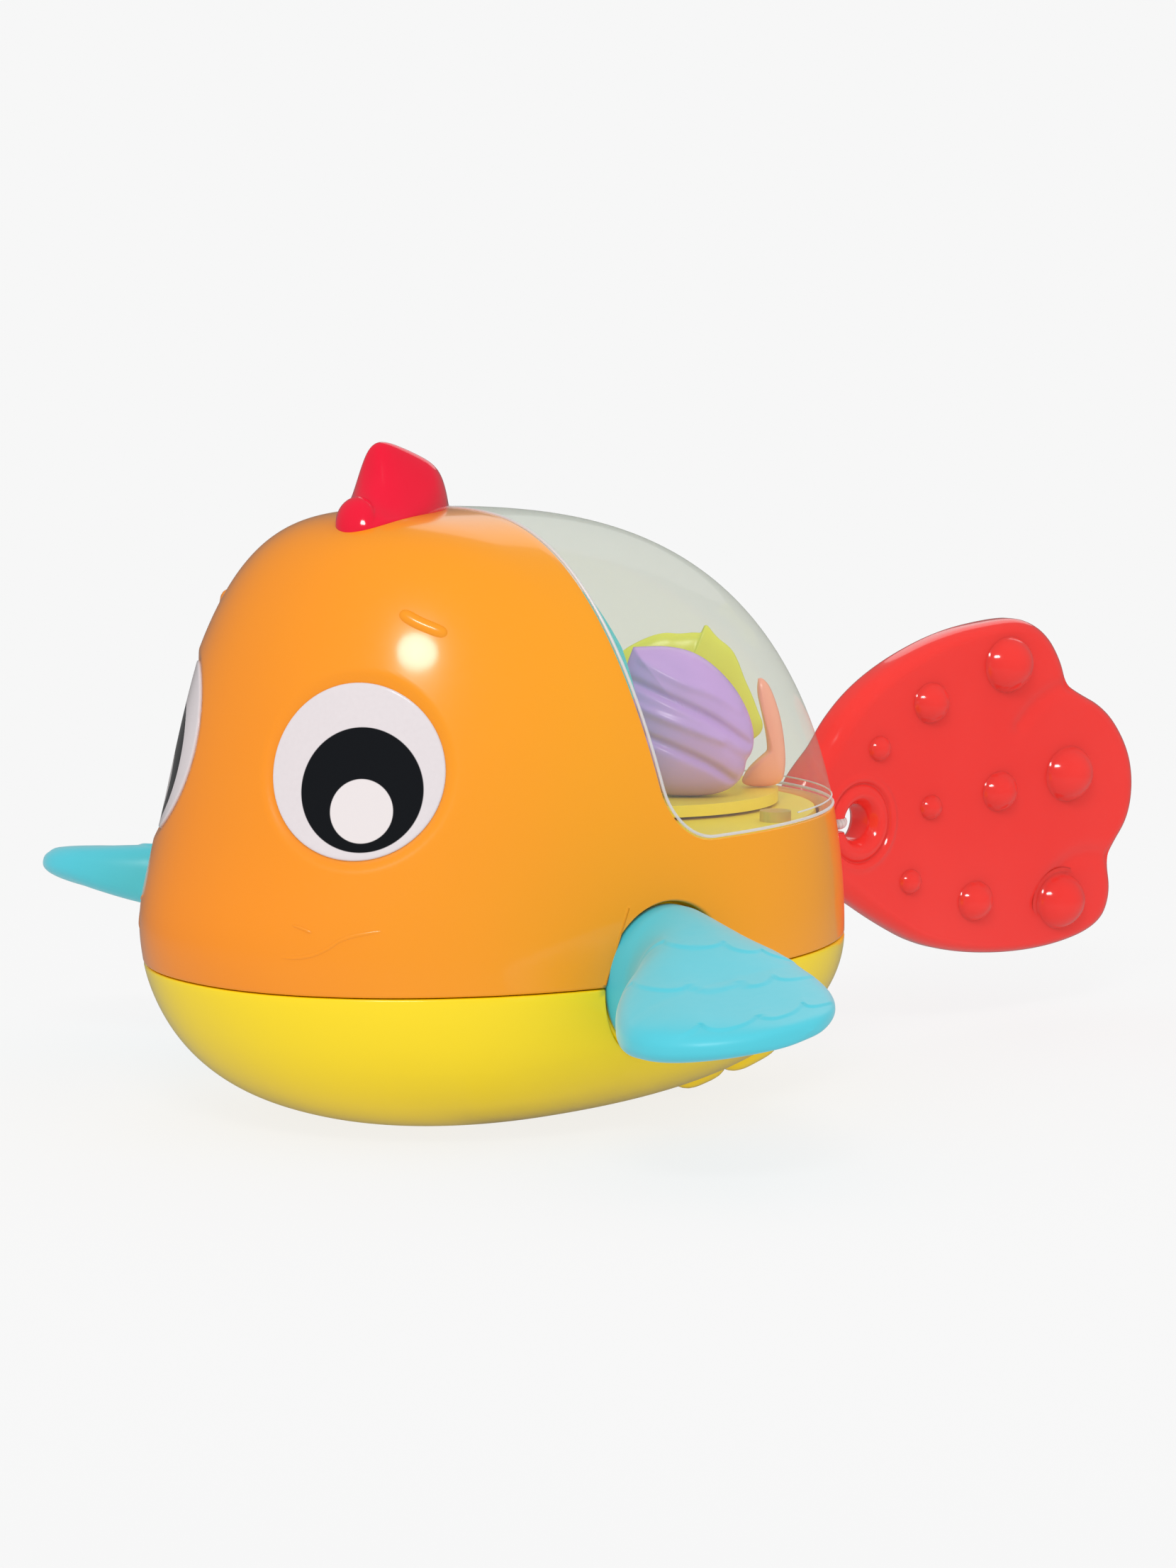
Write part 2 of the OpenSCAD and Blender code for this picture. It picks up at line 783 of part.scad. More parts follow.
// The mainspring's case: a drum round the shaft, fixed to the right side plate
module spring_case() {
    color("gainsboro")
        difference() {
            side_disc(drum_c, case_r, -plate_y, case_y[1]);
            side_disc(drum_c, case_r - case_wall, case_y[0], case_y[1] - case_wall);
            side_disc(drum_c, arbor_r + seat_gap, -plate_y - eps, case_y[1] + eps);
        }
}

// The mainspring: a flat strip wound from the arbor out to the case
module mainspring() {
    inner_r = arbor_r + spring_t;
    outer_r = case_r - case_wall - spring_t / 2 - bore_gap;
    steps = spring_turns * spring_steps;
    function spiral(i, off) =
        let (
            a = i * 360 / spring_steps,
            r = inner_r + (outer_r - inner_r) * i / steps + off
        )
        drum_c + r * [cos(a), sin(a)];
    color("slategray")
        side_slab(case_y[0] + seat_gap, case_y[1] - case_wall - seat_gap)
            polygon(concat(
                [for (i = [0:steps]) spiral(i, spring_t / 2)],
                [for (i = [steps:-1:0]) spiral(i, -spring_t / 2)]
            ));
}

module cord_eyelet() {
    color("gainsboro")
        translate([0, 0, cord_level])
            rotate([0, 90, 0])
                difference() {
                    union() {
                        translate([0, 0, eyelet_out])
                            cylinder(r = eyelet_r, h = eyelet_in - eyelet_out);
                        translate([0, 0, eyelet_flange_x])
                            cylinder(r = eyelet_flange_r, h = eyelet_flange_t);
                    }
                    translate([0, 0, eyelet_out - eps])
                        cylinder(d = cord_d + 4 * bore_gap, h = eyelet_in - eyelet_out + 2 * eps);
                }
}

module inner_cord() {
    way = eyelet_c - leave_c;
    start = leave_c + way * leave_gap / norm(way);
    reach = norm(way) - leave_gap;
    color("white") {
        translate([start[0], 0, start[1]])
            rotate([0, 90 - atan2(way[1], way[0]), 0])
                cylinder(d = cord_d, h = reach);
        translate([eyelet_c[0], 0, eyelet_c[1]])
            sphere(d = elbow_share * cord_d);
        translate([eyelet_out, 0, cord_level])
            rotate([0, 90, 0])
                cylinder(d = cord_d, h = eyelet_c[0] - eyelet_out);
    }
}

// Gears

function involute(a) = tan(a) * 180 / PI - a;

// Half the angle of a tooth at a radius, for a pitch radius p and a number of teeth
function half_tooth(r, p, teeth) =
    90 / teeth - tooth_play / 2 / p * 180 / PI + involute(pressure_angle)
        - involute(acos(min(1, p * cos(pressure_angle) / r)));

module gear_outline(m, teeth, turn) {
    p = m * teeth / 2;
    root = p - 1.2 * m;
    base = max(p * cos(pressure_angle), root + 0.1 * m);
    tip = p + 0.95 * m;
    steps = 3;
    radii = [for (i = [0:steps]) base + (tip - base) * i / steps];
    polygon([
        for (k = [0:teeth - 1])
            let (mid = turn + k * 360 / teeth)
            each concat(
                [let (a = mid - half_tooth(base, p, teeth)) root * [cos(a), sin(a)]],
                [for (r = radii) let (a = mid - half_tooth(r, p, teeth)) r * [cos(a), sin(a)]],
                [
                    for (i = [steps:-1:0])
                        let (a = mid + half_tooth(radii[i], p, teeth))
                        radii[i] * [cos(a), sin(a)]
                ],
                [let (a = mid + half_tooth(base, p, teeth)) root * [cos(a), sin(a)]]
            )
    ]);
}

module spur_gear(c, m, teeth, turn, y_from, y_to, bore_r) {
    difference() {
        side_slab(y_from, y_to)
            translate(c)
                gear_outline(m, teeth, turn);
        side_disc(c, bore_r, y_from - eps, y_to + eps);
    }
}

module train_gear(c, teeth, turn, bore_r) {
    spur_gear(c, gear_m, teeth, turn, gear_y - gear_w / 2, gear_y + gear_w / 2, bore_r);
}

module paddle_gear() {
    color("white")
        train_gear(axle_c, paddle_teeth, paddle_turn, axle_d / 2);
}

module idler_gear() {
    color("tomato")
        train_gear(idler_c, idler_teeth, idler_turn, shaft_d / 2 + bore_gap);
}

// The gear beside the drum, with the arbor that the mainspring winds on
module drum_gear() {
    color("white") {
        train_gear(drum_c, drum_teeth, 0, shaft_d / 2);
        difference() {
            side_disc(drum_c, arbor_r, case_y[0], gear_y - gear_w / 2);
            side_disc(drum_c, shaft_d / 2, case_y[0] - eps, gear_y);
        }
    }
}

module crown_pinion() {
    face = crown_face / 2;
    color("tomato")
        spur_gear(drum_c, crown_m, pinion_teeth, 90, crown_r - face, crown_r + face, shaft_d / 2);
}

// Paddles

module paddle_axle() {
    color("silver")
        side_disc(axle_c, axle_d / 2, -axle_half_l, axle_half_l);
}

// A disc with a round rim, which lies flat
module round_disc(r, t) {
    rim = t * rim_share;
    rotate_extrude($fn = 32)
        union() {
            translate([0, -t / 2])
                square([r - rim, t]);
            translate([0, rim - t / 2])
                square([r, t - 2 * rim]);
            translate([r - rim, rim - t / 2])
                circle(r = rim, $fn = 16);
            translate([r - rim, t / 2 - rim])
                circle(r = rim, $fn = 16);
        }
}

// A left flipper that lies level, with its axle along Y through the origin: a round root in the
// arch, and one smooth form from the root out to the blade's round corners
module flipper() {
    difference() {
        union() {
            side_disc([0, 0], root_r, hub_y, flipper_y + root_face / 2);
            hull() {
                side_disc([0, 0], root_r, flipper_y, flipper_y + root_face);
                for (b = blade_share)
                    translate([b[0] * flipper_reach, side_y + b[1] * flipper_reach, flipper_lift])
                        round_disc(b[2] * flipper_reach, flipper_t);
            }
        }
        side_disc([0, 0], axle_d / 2, 0, axle_half_l);
    }
}

module left_flipper() {
    color("turquoise")
        translate([axle_x, 0, seam_z])
            rotate([0, left_pitch, 0])
                flipper();
}

module right_flipper() {
    color("turquoise")
        translate([axle_x, 0, seam_z])
            rotate([0, -right_pitch, 0])
                mirror([0, 1, 0])
                    flipper();
}

// Drum

module drum_shaft() {
    color("silver")
        side_disc(drum_c, shaft_d / 2, -plate_y - plate_t - eps, plate_y + plate_t + eps);
}

// The cord's drum, with the sleeves that space it from the gear and from the pinion
module cord_drum() {
    color("white")
        difference() {
            union() {
                side_disc(drum_c, core_r, -drum_half_w, drum_half_w);
                side_disc(drum_c, flange_r, -drum_half_w, -drum_half_w + flange_t);
                side_disc(drum_c, flange_r, drum_half_w - flange_t, drum_half_w);
                side_disc(drum_c, arbor_r, gear_y + gear_w / 2, crown_r - crown_face / 2);
            }
            side_disc(drum_c, shaft_d / 2, -side_y, side_y);
        }
}

module cord_winding() {
    color("white")
        difference() {
            side_disc(drum_c, core_r + cord_d, flange_t - drum_half_w, drum_half_w - flange_t);
            side_disc(drum_c, core_r, -side_y, side_y);
        }
}

// Turntable

// The crown gear: a disc with short teeth on its underside, each a wedge that narrows downwards
module crown_gear() {
    pitch = PI * crown_m;
    tooth_tip = pitch * 0.12;
    tooth_root = pitch * 0.26;
    h = crown_depth + crown_dip_share * crown_m;
    tooth = [[-tooth_tip, -h], [tooth_tip, -h], [tooth_root, 0], [-tooth_root, 0]];
    color("tomato")
        translate([drum_x, 0, crown_disc_z]) {
            difference() {
                cylinder(r = crown_r + crown_face, h = crown_disc_t);
                translate([0, 0, -eps])
                    cylinder(r = spindle_r, h = crown_disc_t + 2 * eps);
            }
            for (k = [0:crown_teeth - 1])
                rotate([0, 0, 90 + (k + 0.5) * 360 / crown_teeth])
                    translate([crown_r - crown_face * 0.7, 0, 0])
                        rotate([90, 0, 90])
                            linear_extrude(crown_face * 1.4)
                                polygon(tooth);
        }
}

module turntable() {
    color("gold")
        difference() {
            translate([drum_x, 0, table_bottom])
                cylinder(r = table_r, h = deck_t);
            translate([drum_x, 0, table_bottom - eps])
                cylinder(r = spindle_r, h = deck_t + 2 * eps);
        }
}

module turntable_spindle() {
    color("silver")
        translate([drum_x, 0, crown_disc_z - run_gap])
            cylinder(r = spindle_r, h = table_top - crown_disc_z + run_gap);
}

// Puts a figure on the turntable at a distance from its axis and a turn about it
module on_table(orbit) {
    translate([drum_x + orbit[0] * cos(orbit[1]), orbit[0] * sin(orbit[1]), table_top])
        children();
}

// A whorled sea shell that leans forwards, cut flat where it stands
module shell_figure() {
    function shell_r(f) =
        shell_w / 2 * pow(sin(180 * pow(f, 0.63)), 0.8) * (0.9 + 0.1 * abs(sin(180 * shell_whorls * f)));
    color("mediumpurple")
        on_table(shell_orbit)
            difference() {
                rotate([0, shell_tilt, 0])
                    rotate_extrude()
                        polygon(concat(
                            [
                                for (i = [0:shell_steps - 1])
                                    [shell_r(i / shell_steps), shell_h * i / shell_steps]
                            ],
                            [[0, shell_h]]
                        ));
                translate([-shell_w, -shell_w, -shell_w])
                    cube([2 * shell_w, 2 * shell_w, shell_w]);
            }
}

// A five-armed star that stands on two arms
module star_figure() {
    arms = 5;
    arm_r = star_r * 0.22;
    lift = star_r * cos(36) - arm_r * 0.2;
    color("greenyellow")
        on_table(star_orbit)
            rotate([0, 0, star_turn])
                intersection() {
                    translate([0, arm_r, lift])
                        rotate([90, 0, 0])
                            linear_extrude(2 * arm_r)
                                for (k = [0:arms - 1])
                                    rotate(90 + k * 360 / arms)
                                        hull() {
                                            circle(r = star_r * 0.4);
                                            translate([star_r - arm_r, 0])
                                                circle(r = arm_r);
                                        }
                    translate([-star_r, -star_r, 0])
                        cube([2 * star_r, 2 * star_r, 3 * star_r]);
                }
}

// A branch of coral: a foot and three round-ended fingers in one plane, each with its lean in
// degrees and its length as a share of the coral's height
module coral_figure() {
    coral_fingers = [[0, 1], [-18, 0.78], [18, 0.7]];
    color("coral")
        on_table(coral_orbit)
            difference() {
                union() {
                    cylinder(r = coral_r * 1.4, h = coral_r);
                    for (f = coral_fingers)
                        rotate([f[0], 0, 0]) {
                            cylinder(r = coral_r, h = coral_h * f[1] - coral_r);
                            translate([0, 0, coral_h * f[1] - coral_r])
                                sphere(r = coral_r * elbow_share);
                        }
                }
                translate([-coral_h, -coral_h, -coral_h])
                    cube([2 * coral_h, 2 * coral_h, coral_h]);
            }
}

// Cord and tail

module pull_cord() {
    color("white")
        translate([knot_x, 0, cord_level])
            rotate([0, 90, 0])
                cylinder(d = cord_d, h = eyelet_out - knot_x);
}

module cord_knot() {
    color("white")
        translate([knot_x - knot_r - bore_gap, 0, cord_level])
            sphere(r = knot_r);
}

// A circle in the drawing of the tail, from its place and radius in shares of the tail's height
module tail_circle(c) {
    translate([tail_x - c[0] * tail_h, cord_level + c[1] * tail_h])
        circle(r = c[2] * tail_h);
}

// The soft tail, which is also the cord's handle: a plate with a round edge, nine domes on each
// face, an eye with a raised ring, and a groove in which the cord runs to its knot
module tail_fin() {
    layers = len(edge_share);
    color("red")
        difference() {
            union() {
                for (i = [0:layers - 1])
                    side_slab((i / layers - 0.5) * tail_t, ((i + 1) / layers - 0.5) * tail_t)
                        offset(delta = -edge_share[i] * tail_t) {
                            hull()
                                for (c = tail_round_share)
                                    tail_circle(c);
                            tail_circle(tail_lobe_share);
                        }
                for (s = [-1, 1], d = dome_share)
                    translate([
                        tail_x - d[0] * tail_h,
                        s * (tail_t / 2 - d[2] * tail_h * dome_rise_share),
                        cord_level + d[1] * tail_h
                    ])
                        sphere(r = d[2] * tail_h);
                for (s = [-1, 1])
                    translate([tail_x, s * tail_t / 2, cord_level])
                        rotate([90, 0, 0])
                            rotate_extrude()
                                translate([tail_eye_r + ring_r, 0])
                                    circle(r = ring_r);
            }
            side_disc([tail_x, cord_level], tail_eye_r, -tail_t, tail_t);
            translate([tail_x, -groove_w / 2, cord_level - groove_w / 2])
                cube([tail_h / 2, tail_t, groove_w]);
        }
}

lower_hull();
hood();
window();
left_eye();
right_eye();
crest();
backdrop();
deck();
deck_screws();
body_screws();
drive_frame();
frame_screws();
left_bush();
right_bush();
idler_pin();
spring_case();
mainspring();
cord_eyelet();
inner_cord();
paddle_axle();
paddle_gear();
left_flipper();
right_flipper();
idler_gear();
drum_shaft();
drum_gear();
cord_drum();
cord_winding();
crown_pinion();
crown_gear();
turntable();
turntable_spindle();
shell_figure();
star_figure();
coral_figure();
pull_cord();
tail_fin();
cord_knot();
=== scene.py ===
# Pull-cord paddling bath fish: its looks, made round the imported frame. Blender's lengths are
# metres; the sizes below are millimetres, as in the part's source, and MM turns them into metres.
# +X is forwards, +Y is the fish's left, +Z is up, and the belly rests on z = 0.

import bpy
import numpy as np
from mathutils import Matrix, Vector


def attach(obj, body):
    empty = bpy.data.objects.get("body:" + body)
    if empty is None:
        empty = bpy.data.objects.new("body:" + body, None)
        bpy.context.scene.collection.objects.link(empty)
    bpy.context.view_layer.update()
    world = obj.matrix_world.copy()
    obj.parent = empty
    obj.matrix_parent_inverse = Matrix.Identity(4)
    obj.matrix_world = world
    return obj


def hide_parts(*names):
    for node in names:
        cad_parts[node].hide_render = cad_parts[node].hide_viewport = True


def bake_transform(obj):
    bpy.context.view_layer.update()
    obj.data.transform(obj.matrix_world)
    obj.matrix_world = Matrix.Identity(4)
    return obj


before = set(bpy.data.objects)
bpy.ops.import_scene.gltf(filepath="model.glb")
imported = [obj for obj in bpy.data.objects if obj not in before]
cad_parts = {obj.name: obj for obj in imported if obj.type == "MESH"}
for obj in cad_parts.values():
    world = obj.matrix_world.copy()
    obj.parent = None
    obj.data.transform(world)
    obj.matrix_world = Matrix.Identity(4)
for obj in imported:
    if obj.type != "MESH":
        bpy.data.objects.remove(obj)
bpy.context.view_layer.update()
MM = 0.001
SEAM_Z = 24.2

# Camera
# It stands ahead of the fish, to its left and a little above it, where the photograph was taken
# from. The shift puts the middle of the seam where the photograph has it.

view_yaw, view_rise = np.radians(39.714), np.radians(9.229)
CAMERA_DISTANCE, CAMERA_LENS, CAMERA_SHIFT = 0.765, 114.1, (0.060, 0.1016)
toward_camera = Vector((
    np.sin(view_yaw) * np.cos(view_rise), np.cos(view_yaw) * np.cos(view_rise), np.sin(view_rise)
))
camera = bpy.data.objects.new("camera", bpy.data.cameras.new("camera"))
bpy.context.scene.collection.objects.link(camera)
camera.location = Vector((0, 0, SEAM_Z * MM)) + CAMERA_DISTANCE * toward_camera
camera.rotation_euler = toward_camera.to_track_quat("Z", "Y").to_euler()
camera.data.sensor_width = 36
camera.data.lens = CAMERA_LENS
camera.data.shift_x, camera.data.shift_y = CAMERA_SHIFT
bpy.context.scene.camera = camera

# Pull cord and its knot
# A white braided cord of 1.5 mm. Its stub leaves the eyelet at the fish's rear and ends in a knot
# in the tail's eye.

CORD_R, INSIDE_CORD_R = 0.75, 0.74
CORD_Z = 36.6
EYELET_X = -59.298
KNOT_X = -70.765


class Value:
    """An output of one material's nodes. Arithmetic on it adds Math nodes beside it."""

    def __init__(self, finish, socket):
        self.finish, self.socket = finish, socket

    def math(self, operation, *values):
        return self.finish.node("ShaderNodeMath", dict(operation=operation), *values)

    def __add__(self, other):
        return self.math("ADD", self, other)

    def __sub__(self, other):
        return self.math("SUBTRACT", self, other)

    def __rsub__(self, other):
        return self.math("SUBTRACT", other, self)

    def __mul__(self, other):
        return self.math("MULTIPLY", self, other)

    def __pow__(self, other):
        return self.math("POWER", self, other)

    __radd__, __rmul__ = __add__, __mul__

    def sin(self):
        return self.math("SINE", self)

    def abs(self):
        return self.math("ABSOLUTE", self)

    def below(self, edge, soft):
        """1 where the value is under the edge and 0 above it, over a soft width."""
        return self.math("MULTIPLY_ADD", self, -1 / soft, edge / soft + 0.5).clamped()

    def clamped(self):
        return self.finish.node("ShaderNodeClamp", {}, self)


class Finish:
    """One material. node() adds any node; the plain numbers of its surface are set by name."""

    def __init__(self, name, **surface):
        self.slot = name
        self.material = bpy.data.materials.new(name)
        self.material.use_nodes = True
        self.tree = self.material.node_tree
        self.shader = self.tree.nodes["Principled BSDF"]
        self.set(**surface)

    def node(self, kind, settings, *values, output=0, **named):
        made = self.tree.nodes.new(kind)
        for key, value in settings.items():
            setattr(made, key, value)
        for key, value in [*enumerate(values), *named.items()]:
            self.feed(made.inputs[key.replace("_", " ") if isinstance(key, str) else key], value)
        return Value(self, made.outputs[output])

    def feed(self, socket, value):
        if isinstance(value, Value):
            self.tree.links.new(value.socket, socket)
        else:
            socket.default_value = value

    def set(self, **surface):
        for key, value in surface.items():
            if isinstance(value, tuple) and len(value) == 3:
                value = (*value, 1)
            self.feed(self.shader.inputs[key.replace("_", " ")], value)
        return self

    def place(self):
        return self.node("ShaderNodeTexCoord", {}, output="Object")

    def axes(self, vector):
        split = self.node("ShaderNodeSeparateXYZ", {}, vector)
        return [Value(self, split.socket.node.outputs[i]) for i in range(3)]

    def noise(self, scale, detail=2.0, vector=None):
        return self.node(
            "ShaderNodeTexNoise", {}, Vector=vector or self.place(), Scale=scale, Detail=detail
        )

    def blend(self, factor, a, b):
        """Colour a where the factor is 0 and colour b where it is 1."""
        made = self.tree.nodes.new("ShaderNodeMix")
        made.data_type = "RGBA"
        self.feed(made.inputs[0], factor)
        for socket, colour in ((made.inputs[6], a), (made.inputs[7], b)):
            self.feed(socket, (*colour, 1) if isinstance(colour, tuple) else colour)
        return Value(self, made.outputs[2])

    def ray(self, kind):
        """1 for light rays of one kind, else 0."""
        return Value(self, self.node("ShaderNodeLightPath", {}).socket.node.outputs[kind])

    def bump(self, height, distance):
        return self.node("ShaderNodeBump", {}, Strength=1.0, Distance=distance * MM, Height=height)

    def patchy(self, scale, deep, pale):
        """Base colour in soft patches between a deep and a pale tone."""
        return self.set(Base_Color=self.blend(self.noise(scale), deep, pale))

    def grained(self, shine, grain):
        """Gloss and relief from fine noise. shine is the noise's scale, its range and the lowest
        roughness; grain is the noise's scale and its height in millimetres."""
        return self.set(
            Roughness=self.noise(shine[0]) * shine[1] + shine[2],
            Normal=self.bump(self.noise(grain[0]), grain[1]),
        )


def add_piece(name, points, faces, finish, smooth=True, flip=False):
    """A mesh piece from points in millimetres and faces of their numbers. flip turns the faces of
    a mirrored or back-to-front grid outwards."""
    mesh = bpy.data.meshes.new(name)
    mesh.from_pydata((np.asarray(points).reshape(-1, 3) * MM).tolist(), [], faces)
    mesh.validate()
    if flip:
        mesh.flip_normals()
    mesh.materials.append(finish.material)
    mesh.polygons.foreach_set("use_smooth", [smooth] * len(mesh.polygons))
    piece = bpy.data.objects.new(name, mesh)
    bpy.context.scene.collection.objects.link(piece)
    return piece


def grid_faces(rows, columns, first=0, wrap_rows=False):
    """Quads of a grid of points numbered row by row, each row closed to a ring, and the last row
    joined to the first where wrap_rows says so."""
    i, j = np.arange(rows if wrap_rows else rows - 1)[:, None], np.arange(columns)[None, :]
    i2, j2 = (i + 1) % rows, (j + 1) % columns
    quads = np.stack([i * columns + j, i * columns + j2, i2 * columns + j2, i2 * columns + j], -1)
    return (quads.reshape(-1, 4) + first).tolist()


def capped(rows, columns, first=0):
    """Quads of a tube-like grid, with one face across its first ring and one across its last."""
    last = first + (rows - 1) * columns
    ends = [list(range(first, first + columns))[::-1], list(range(last, last + columns))]
    return grid_faces(rows, columns, first) + ends


def full_turn(count):
    """Angles evenly round a full turn."""
    return np.linspace(0, 2 * np.pi, count, endpoint=False)


def tube(path, radius, sides=20):
    """Rings of a round tube along a path of points, one row for each point. Each ring stands
    square to the path; its radius may change from point to point."""
    path = np.asarray(path, float)
    along = np.gradient(path, axis=0)
    along /= np.linalg.norm(along, axis=1, keepdims=True)
    side = np.cross(along, (0, 0, 1) if abs(along[0][2]) < 0.9 else (1, 0, 0))
    side /= np.linalg.norm(side, axis=1, keepdims=True)
    up = np.cross(side, along)
    turn = full_turn(sides)[None, :, None]
    radius = np.broadcast_to(np.asarray(radius, float), len(path))[:, None, None]
    return path[:, None] + radius * (np.cos(turn) * side[:, None] + np.sin(turn) * up[:, None])


def tube_piece(name, path, radius, finish, sides=20):
    """A closed round bar along a path."""
    rings = tube(path, radius, sides)
    return add_piece(name, rings, capped(len(rings), sides), finish)


def rounded_ends(share, power, least):
    """Share of a lobe's full radius along its length, where share runs from -1 to 1: the root of
    1 - |share|^power, so that both ends close in a rounded nose."""
    return np.sqrt(np.clip(1 - np.abs(share) ** power, least, 1))


def on_cord(x):
    """Points of the cord's straight line at given x."""
    return np.stack([x, 0 * x, 0 * x + CORD_Z], 1)


BRAID_STRANDS, BRAID_RATE = 2, 4200
cord_white = Finish("cord_white", Roughness=0.5, Sheen_Weight=0.2)
x, y, z = cord_white.axes(cord_white.place())
turns = cord_white.node("ShaderNodeMath", dict(operation="ARCTAN2"), y, z - CORD_Z * MM)
strands = (turns * BRAID_STRANDS + x * BRAID_RATE).sin().abs()
# The colour is lighter on each strand's crown and darker between strands: painted shade in the
# braid's grooves, over the relief that the bump gives.
cord_white.set(
    Base_Color=cord_white.blend(strands, (0.74, 0.72, 0.70), (0.90, 0.88, 0.86)),
    Normal=cord_white.bump(strands, 0.05),
)
cord_line = on_cord(np.linspace(EYELET_X, KNOT_X, 60))
cord = tube_piece("pull_cord_braid", cord_line, CORD_R, cord_white)
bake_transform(cord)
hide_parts("pull_cord")

# Drawn tight and sealed, the knot is a smooth round end a little fatter than the cord.
KNOT_R, KNOT_BEHIND, KNOT_HALF = 1.2, 2.0, 1.7
share = np.linspace(-1, 1, 41)
knot = tube_piece(
    "knot_in_the_eye", on_cord(KNOT_X - KNOT_BEHIND - KNOT_HALF * share),
    KNOT_R * rounded_ends(share, 2.6, 0.002), cord_white, 32,
)
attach(knot, "tail")
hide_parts("cord_knot")

# Skin of the body
# The hood, the window and the hull are one smooth skin, moulded in three pieces: clear behind the
# leaning edge of the window, orange ahead of it and yellow below the seam. All are 2 to 2.4 mm
# thick.

FRONT, REAR, SIDE = 55.3, 59.6, 43.3
HOOD_H, HULL_DEPTH = 67.5, 24.6
WALL = 2.4
# The middle of a level section moves ahead as the section leaves the seam. Its reach to the front,
# the rear and the side shrinks as these powers of cos t. The section is a near-ellipse.
HOOD_AHEAD, HULL_AHEAD = 17.8, 8.9
HOOD_POWERS, HULL_POWERS = (0.621, 0.683, 0.689), (0.618, 0.671, 0.701)
SECTION_POWER = 0.919
MUZZLE_OUT, MUZZLE_Z, MUZZLE_HALF_H = 3.7, 6.8, 10.2


def signed_power(v, e):
    """v to the power e, with v's own sign."""
    return np.sign(v) * np.abs(v) ** e


def level_section(t, inset=0.0):
    """The skin's level section at height angle t, drawn in by an inset: how far its middle lies
    ahead, and its reach to the front, the rear and the side."""
    c = np.maximum(np.cos(t), 0)
    ahead = np.where(t >= 0, HOOD_AHEAD, HULL_AHEAD) * np.sin(t) ** 2
    reaches = (FRONT - inset - ahead, REAR - inset + ahead, SIDE - inset)
    powers = (np.where(t >= 0, hood, hull) for hood, hull in zip(HOOD_POWERS, HULL_POWERS))
    return ahead, *(reach * c ** power for reach, power in zip(reaches, powers))


def skin(t, u, inset=0.0):
    """The body's skin at height angle t and angle u round from the nose, in radians, drawn in by
    an inset. The height follows sin t, a level section follows powers of cos u and sin u, and the
    muzzle adds a bell-shaped bulge to the nose."""
    ahead, front, rear, side = level_section(t, inset)
    along, across = signed_power(np.cos(u), SECTION_POWER), signed_power(np.sin(u), SECTION_POWER)
    z = (np.where(t >= 0, HOOD_H, HULL_DEPTH) - inset) * np.sin(t)
    bell = np.exp(-(((z - MUZZLE_Z) / MUZZLE_HALF_H) ** 2)) * np.maximum(np.cos(u), 0) ** 4
    x = ahead + np.where(along > 0, front, rear) * along + MUZZLE_OUT * bell
    return np.stack([x, side * across, np.maximum(SEAM_Z + z, 0)], -1)


def on_side(x, z):
    """Angles (t, u) of the left side's skin where the side view shows x and z."""
    t = np.arcsin(np.clip((z - SEAM_Z) / np.where(z >= SEAM_Z, HOOD_H, HULL_DEPTH), -1, 1))
    ahead, front, rear, _ = level_section(t)
    along = np.clip((x - ahead) / np.where(x > ahead, front, rear), -1, 1)
    return t, np.arccos(signed_power(along, 1 / SECTION_POWER))


class Chart:
    """A flat map of half of the body, with the crown or the keel in its middle and the seam as
    its rim. A point's distance from the middle is its share of the way down the skin."""

    def __init__(self, sign):
        t = sign * np.linspace(0, np.pi / 2, 2000)
        line = skin(t, np.full_like(t, 0.25 * np.pi))
        way = np.concatenate([[0], np.cumsum(np.linalg.norm(np.diff(line, axis=0), axis=1))])
        self.t, self.rho = t[::-1], (1 - way / way[-1])[::-1]

    def flat(self, t, u):
        order = np.argsort(self.t)
        rho = np.interp(t, self.t[order], self.rho[order])
        return np.stack([rho * np.cos(u), rho * np.sin(u)], -1)

    def angles(self, flat):
        rho = np.hypot(flat[..., 0], flat[..., 1])
        return np.interp(rho, self.rho, self.t), np.arctan2(flat[..., 1], flat[..., 0])


def resample(points, count, shares=None):
    """count points along a polyline, evenly or at given shares of its length."""
    way = np.concatenate([[0], np.cumsum(np.linalg.norm(np.diff(points, axis=0), axis=1))])
    shares = np.linspace(0, 1, count) if shares is None else shares
    columns = [np.interp(shares * way[-1], way, column) for column in points.T]
    return np.stack(columns, -1)


def mirror_loop(half):
    """A closed loop from its left half, whose ends lie on the middle line."""
    return np.concatenate([half, (half * (1, -1))[-2:0:-1]])


# Side view of the window: the leaning front edge, a round corner of 10 mm and the level edge.
WINDOW_X, WINDOW_Z, LEAN, CORNER_R = 0.3, SEAM_Z + 20.1, np.radians(9.4), 10.0
FRONT_EDGE_POINTS, FRONT_EDGE_LENGTH, LEVEL_EDGE_LENGTH = 400, 60, 75
AXLE_X, ARCH_R = 2.2, 11.8


def window_edge(grow):
    """The window's edge in the side view, moved out by grow: from the crown down the front edge,
    round the corner and back to the rear."""
    corner_x = WINDOW_X + CORNER_R * (np.tan(LEAN) - 1 / np.cos(LEAN))
    centre = np.array([corner_x, WINDOW_Z + CORNER_R])
    radius = CORNER_R + grow
    turn = np.linspace(-LEAN, -np.pi / 2, 60)
    arc = centre + radius * np.stack([np.cos(turn), np.sin(turn)], 1)
    up_edge = np.linspace(FRONT_EDGE_LENGTH, 0, FRONT_EDGE_POINTS)[:-1, None]
    front = arc[0] + up_edge * (np.sin(LEAN), np.cos(LEAN))
    back = arc[-1] + np.linspace(0, LEVEL_EDGE_LENGTH, 300)[1:, None] * (-1, 0)
    return np.concatenate([front, arc, back])


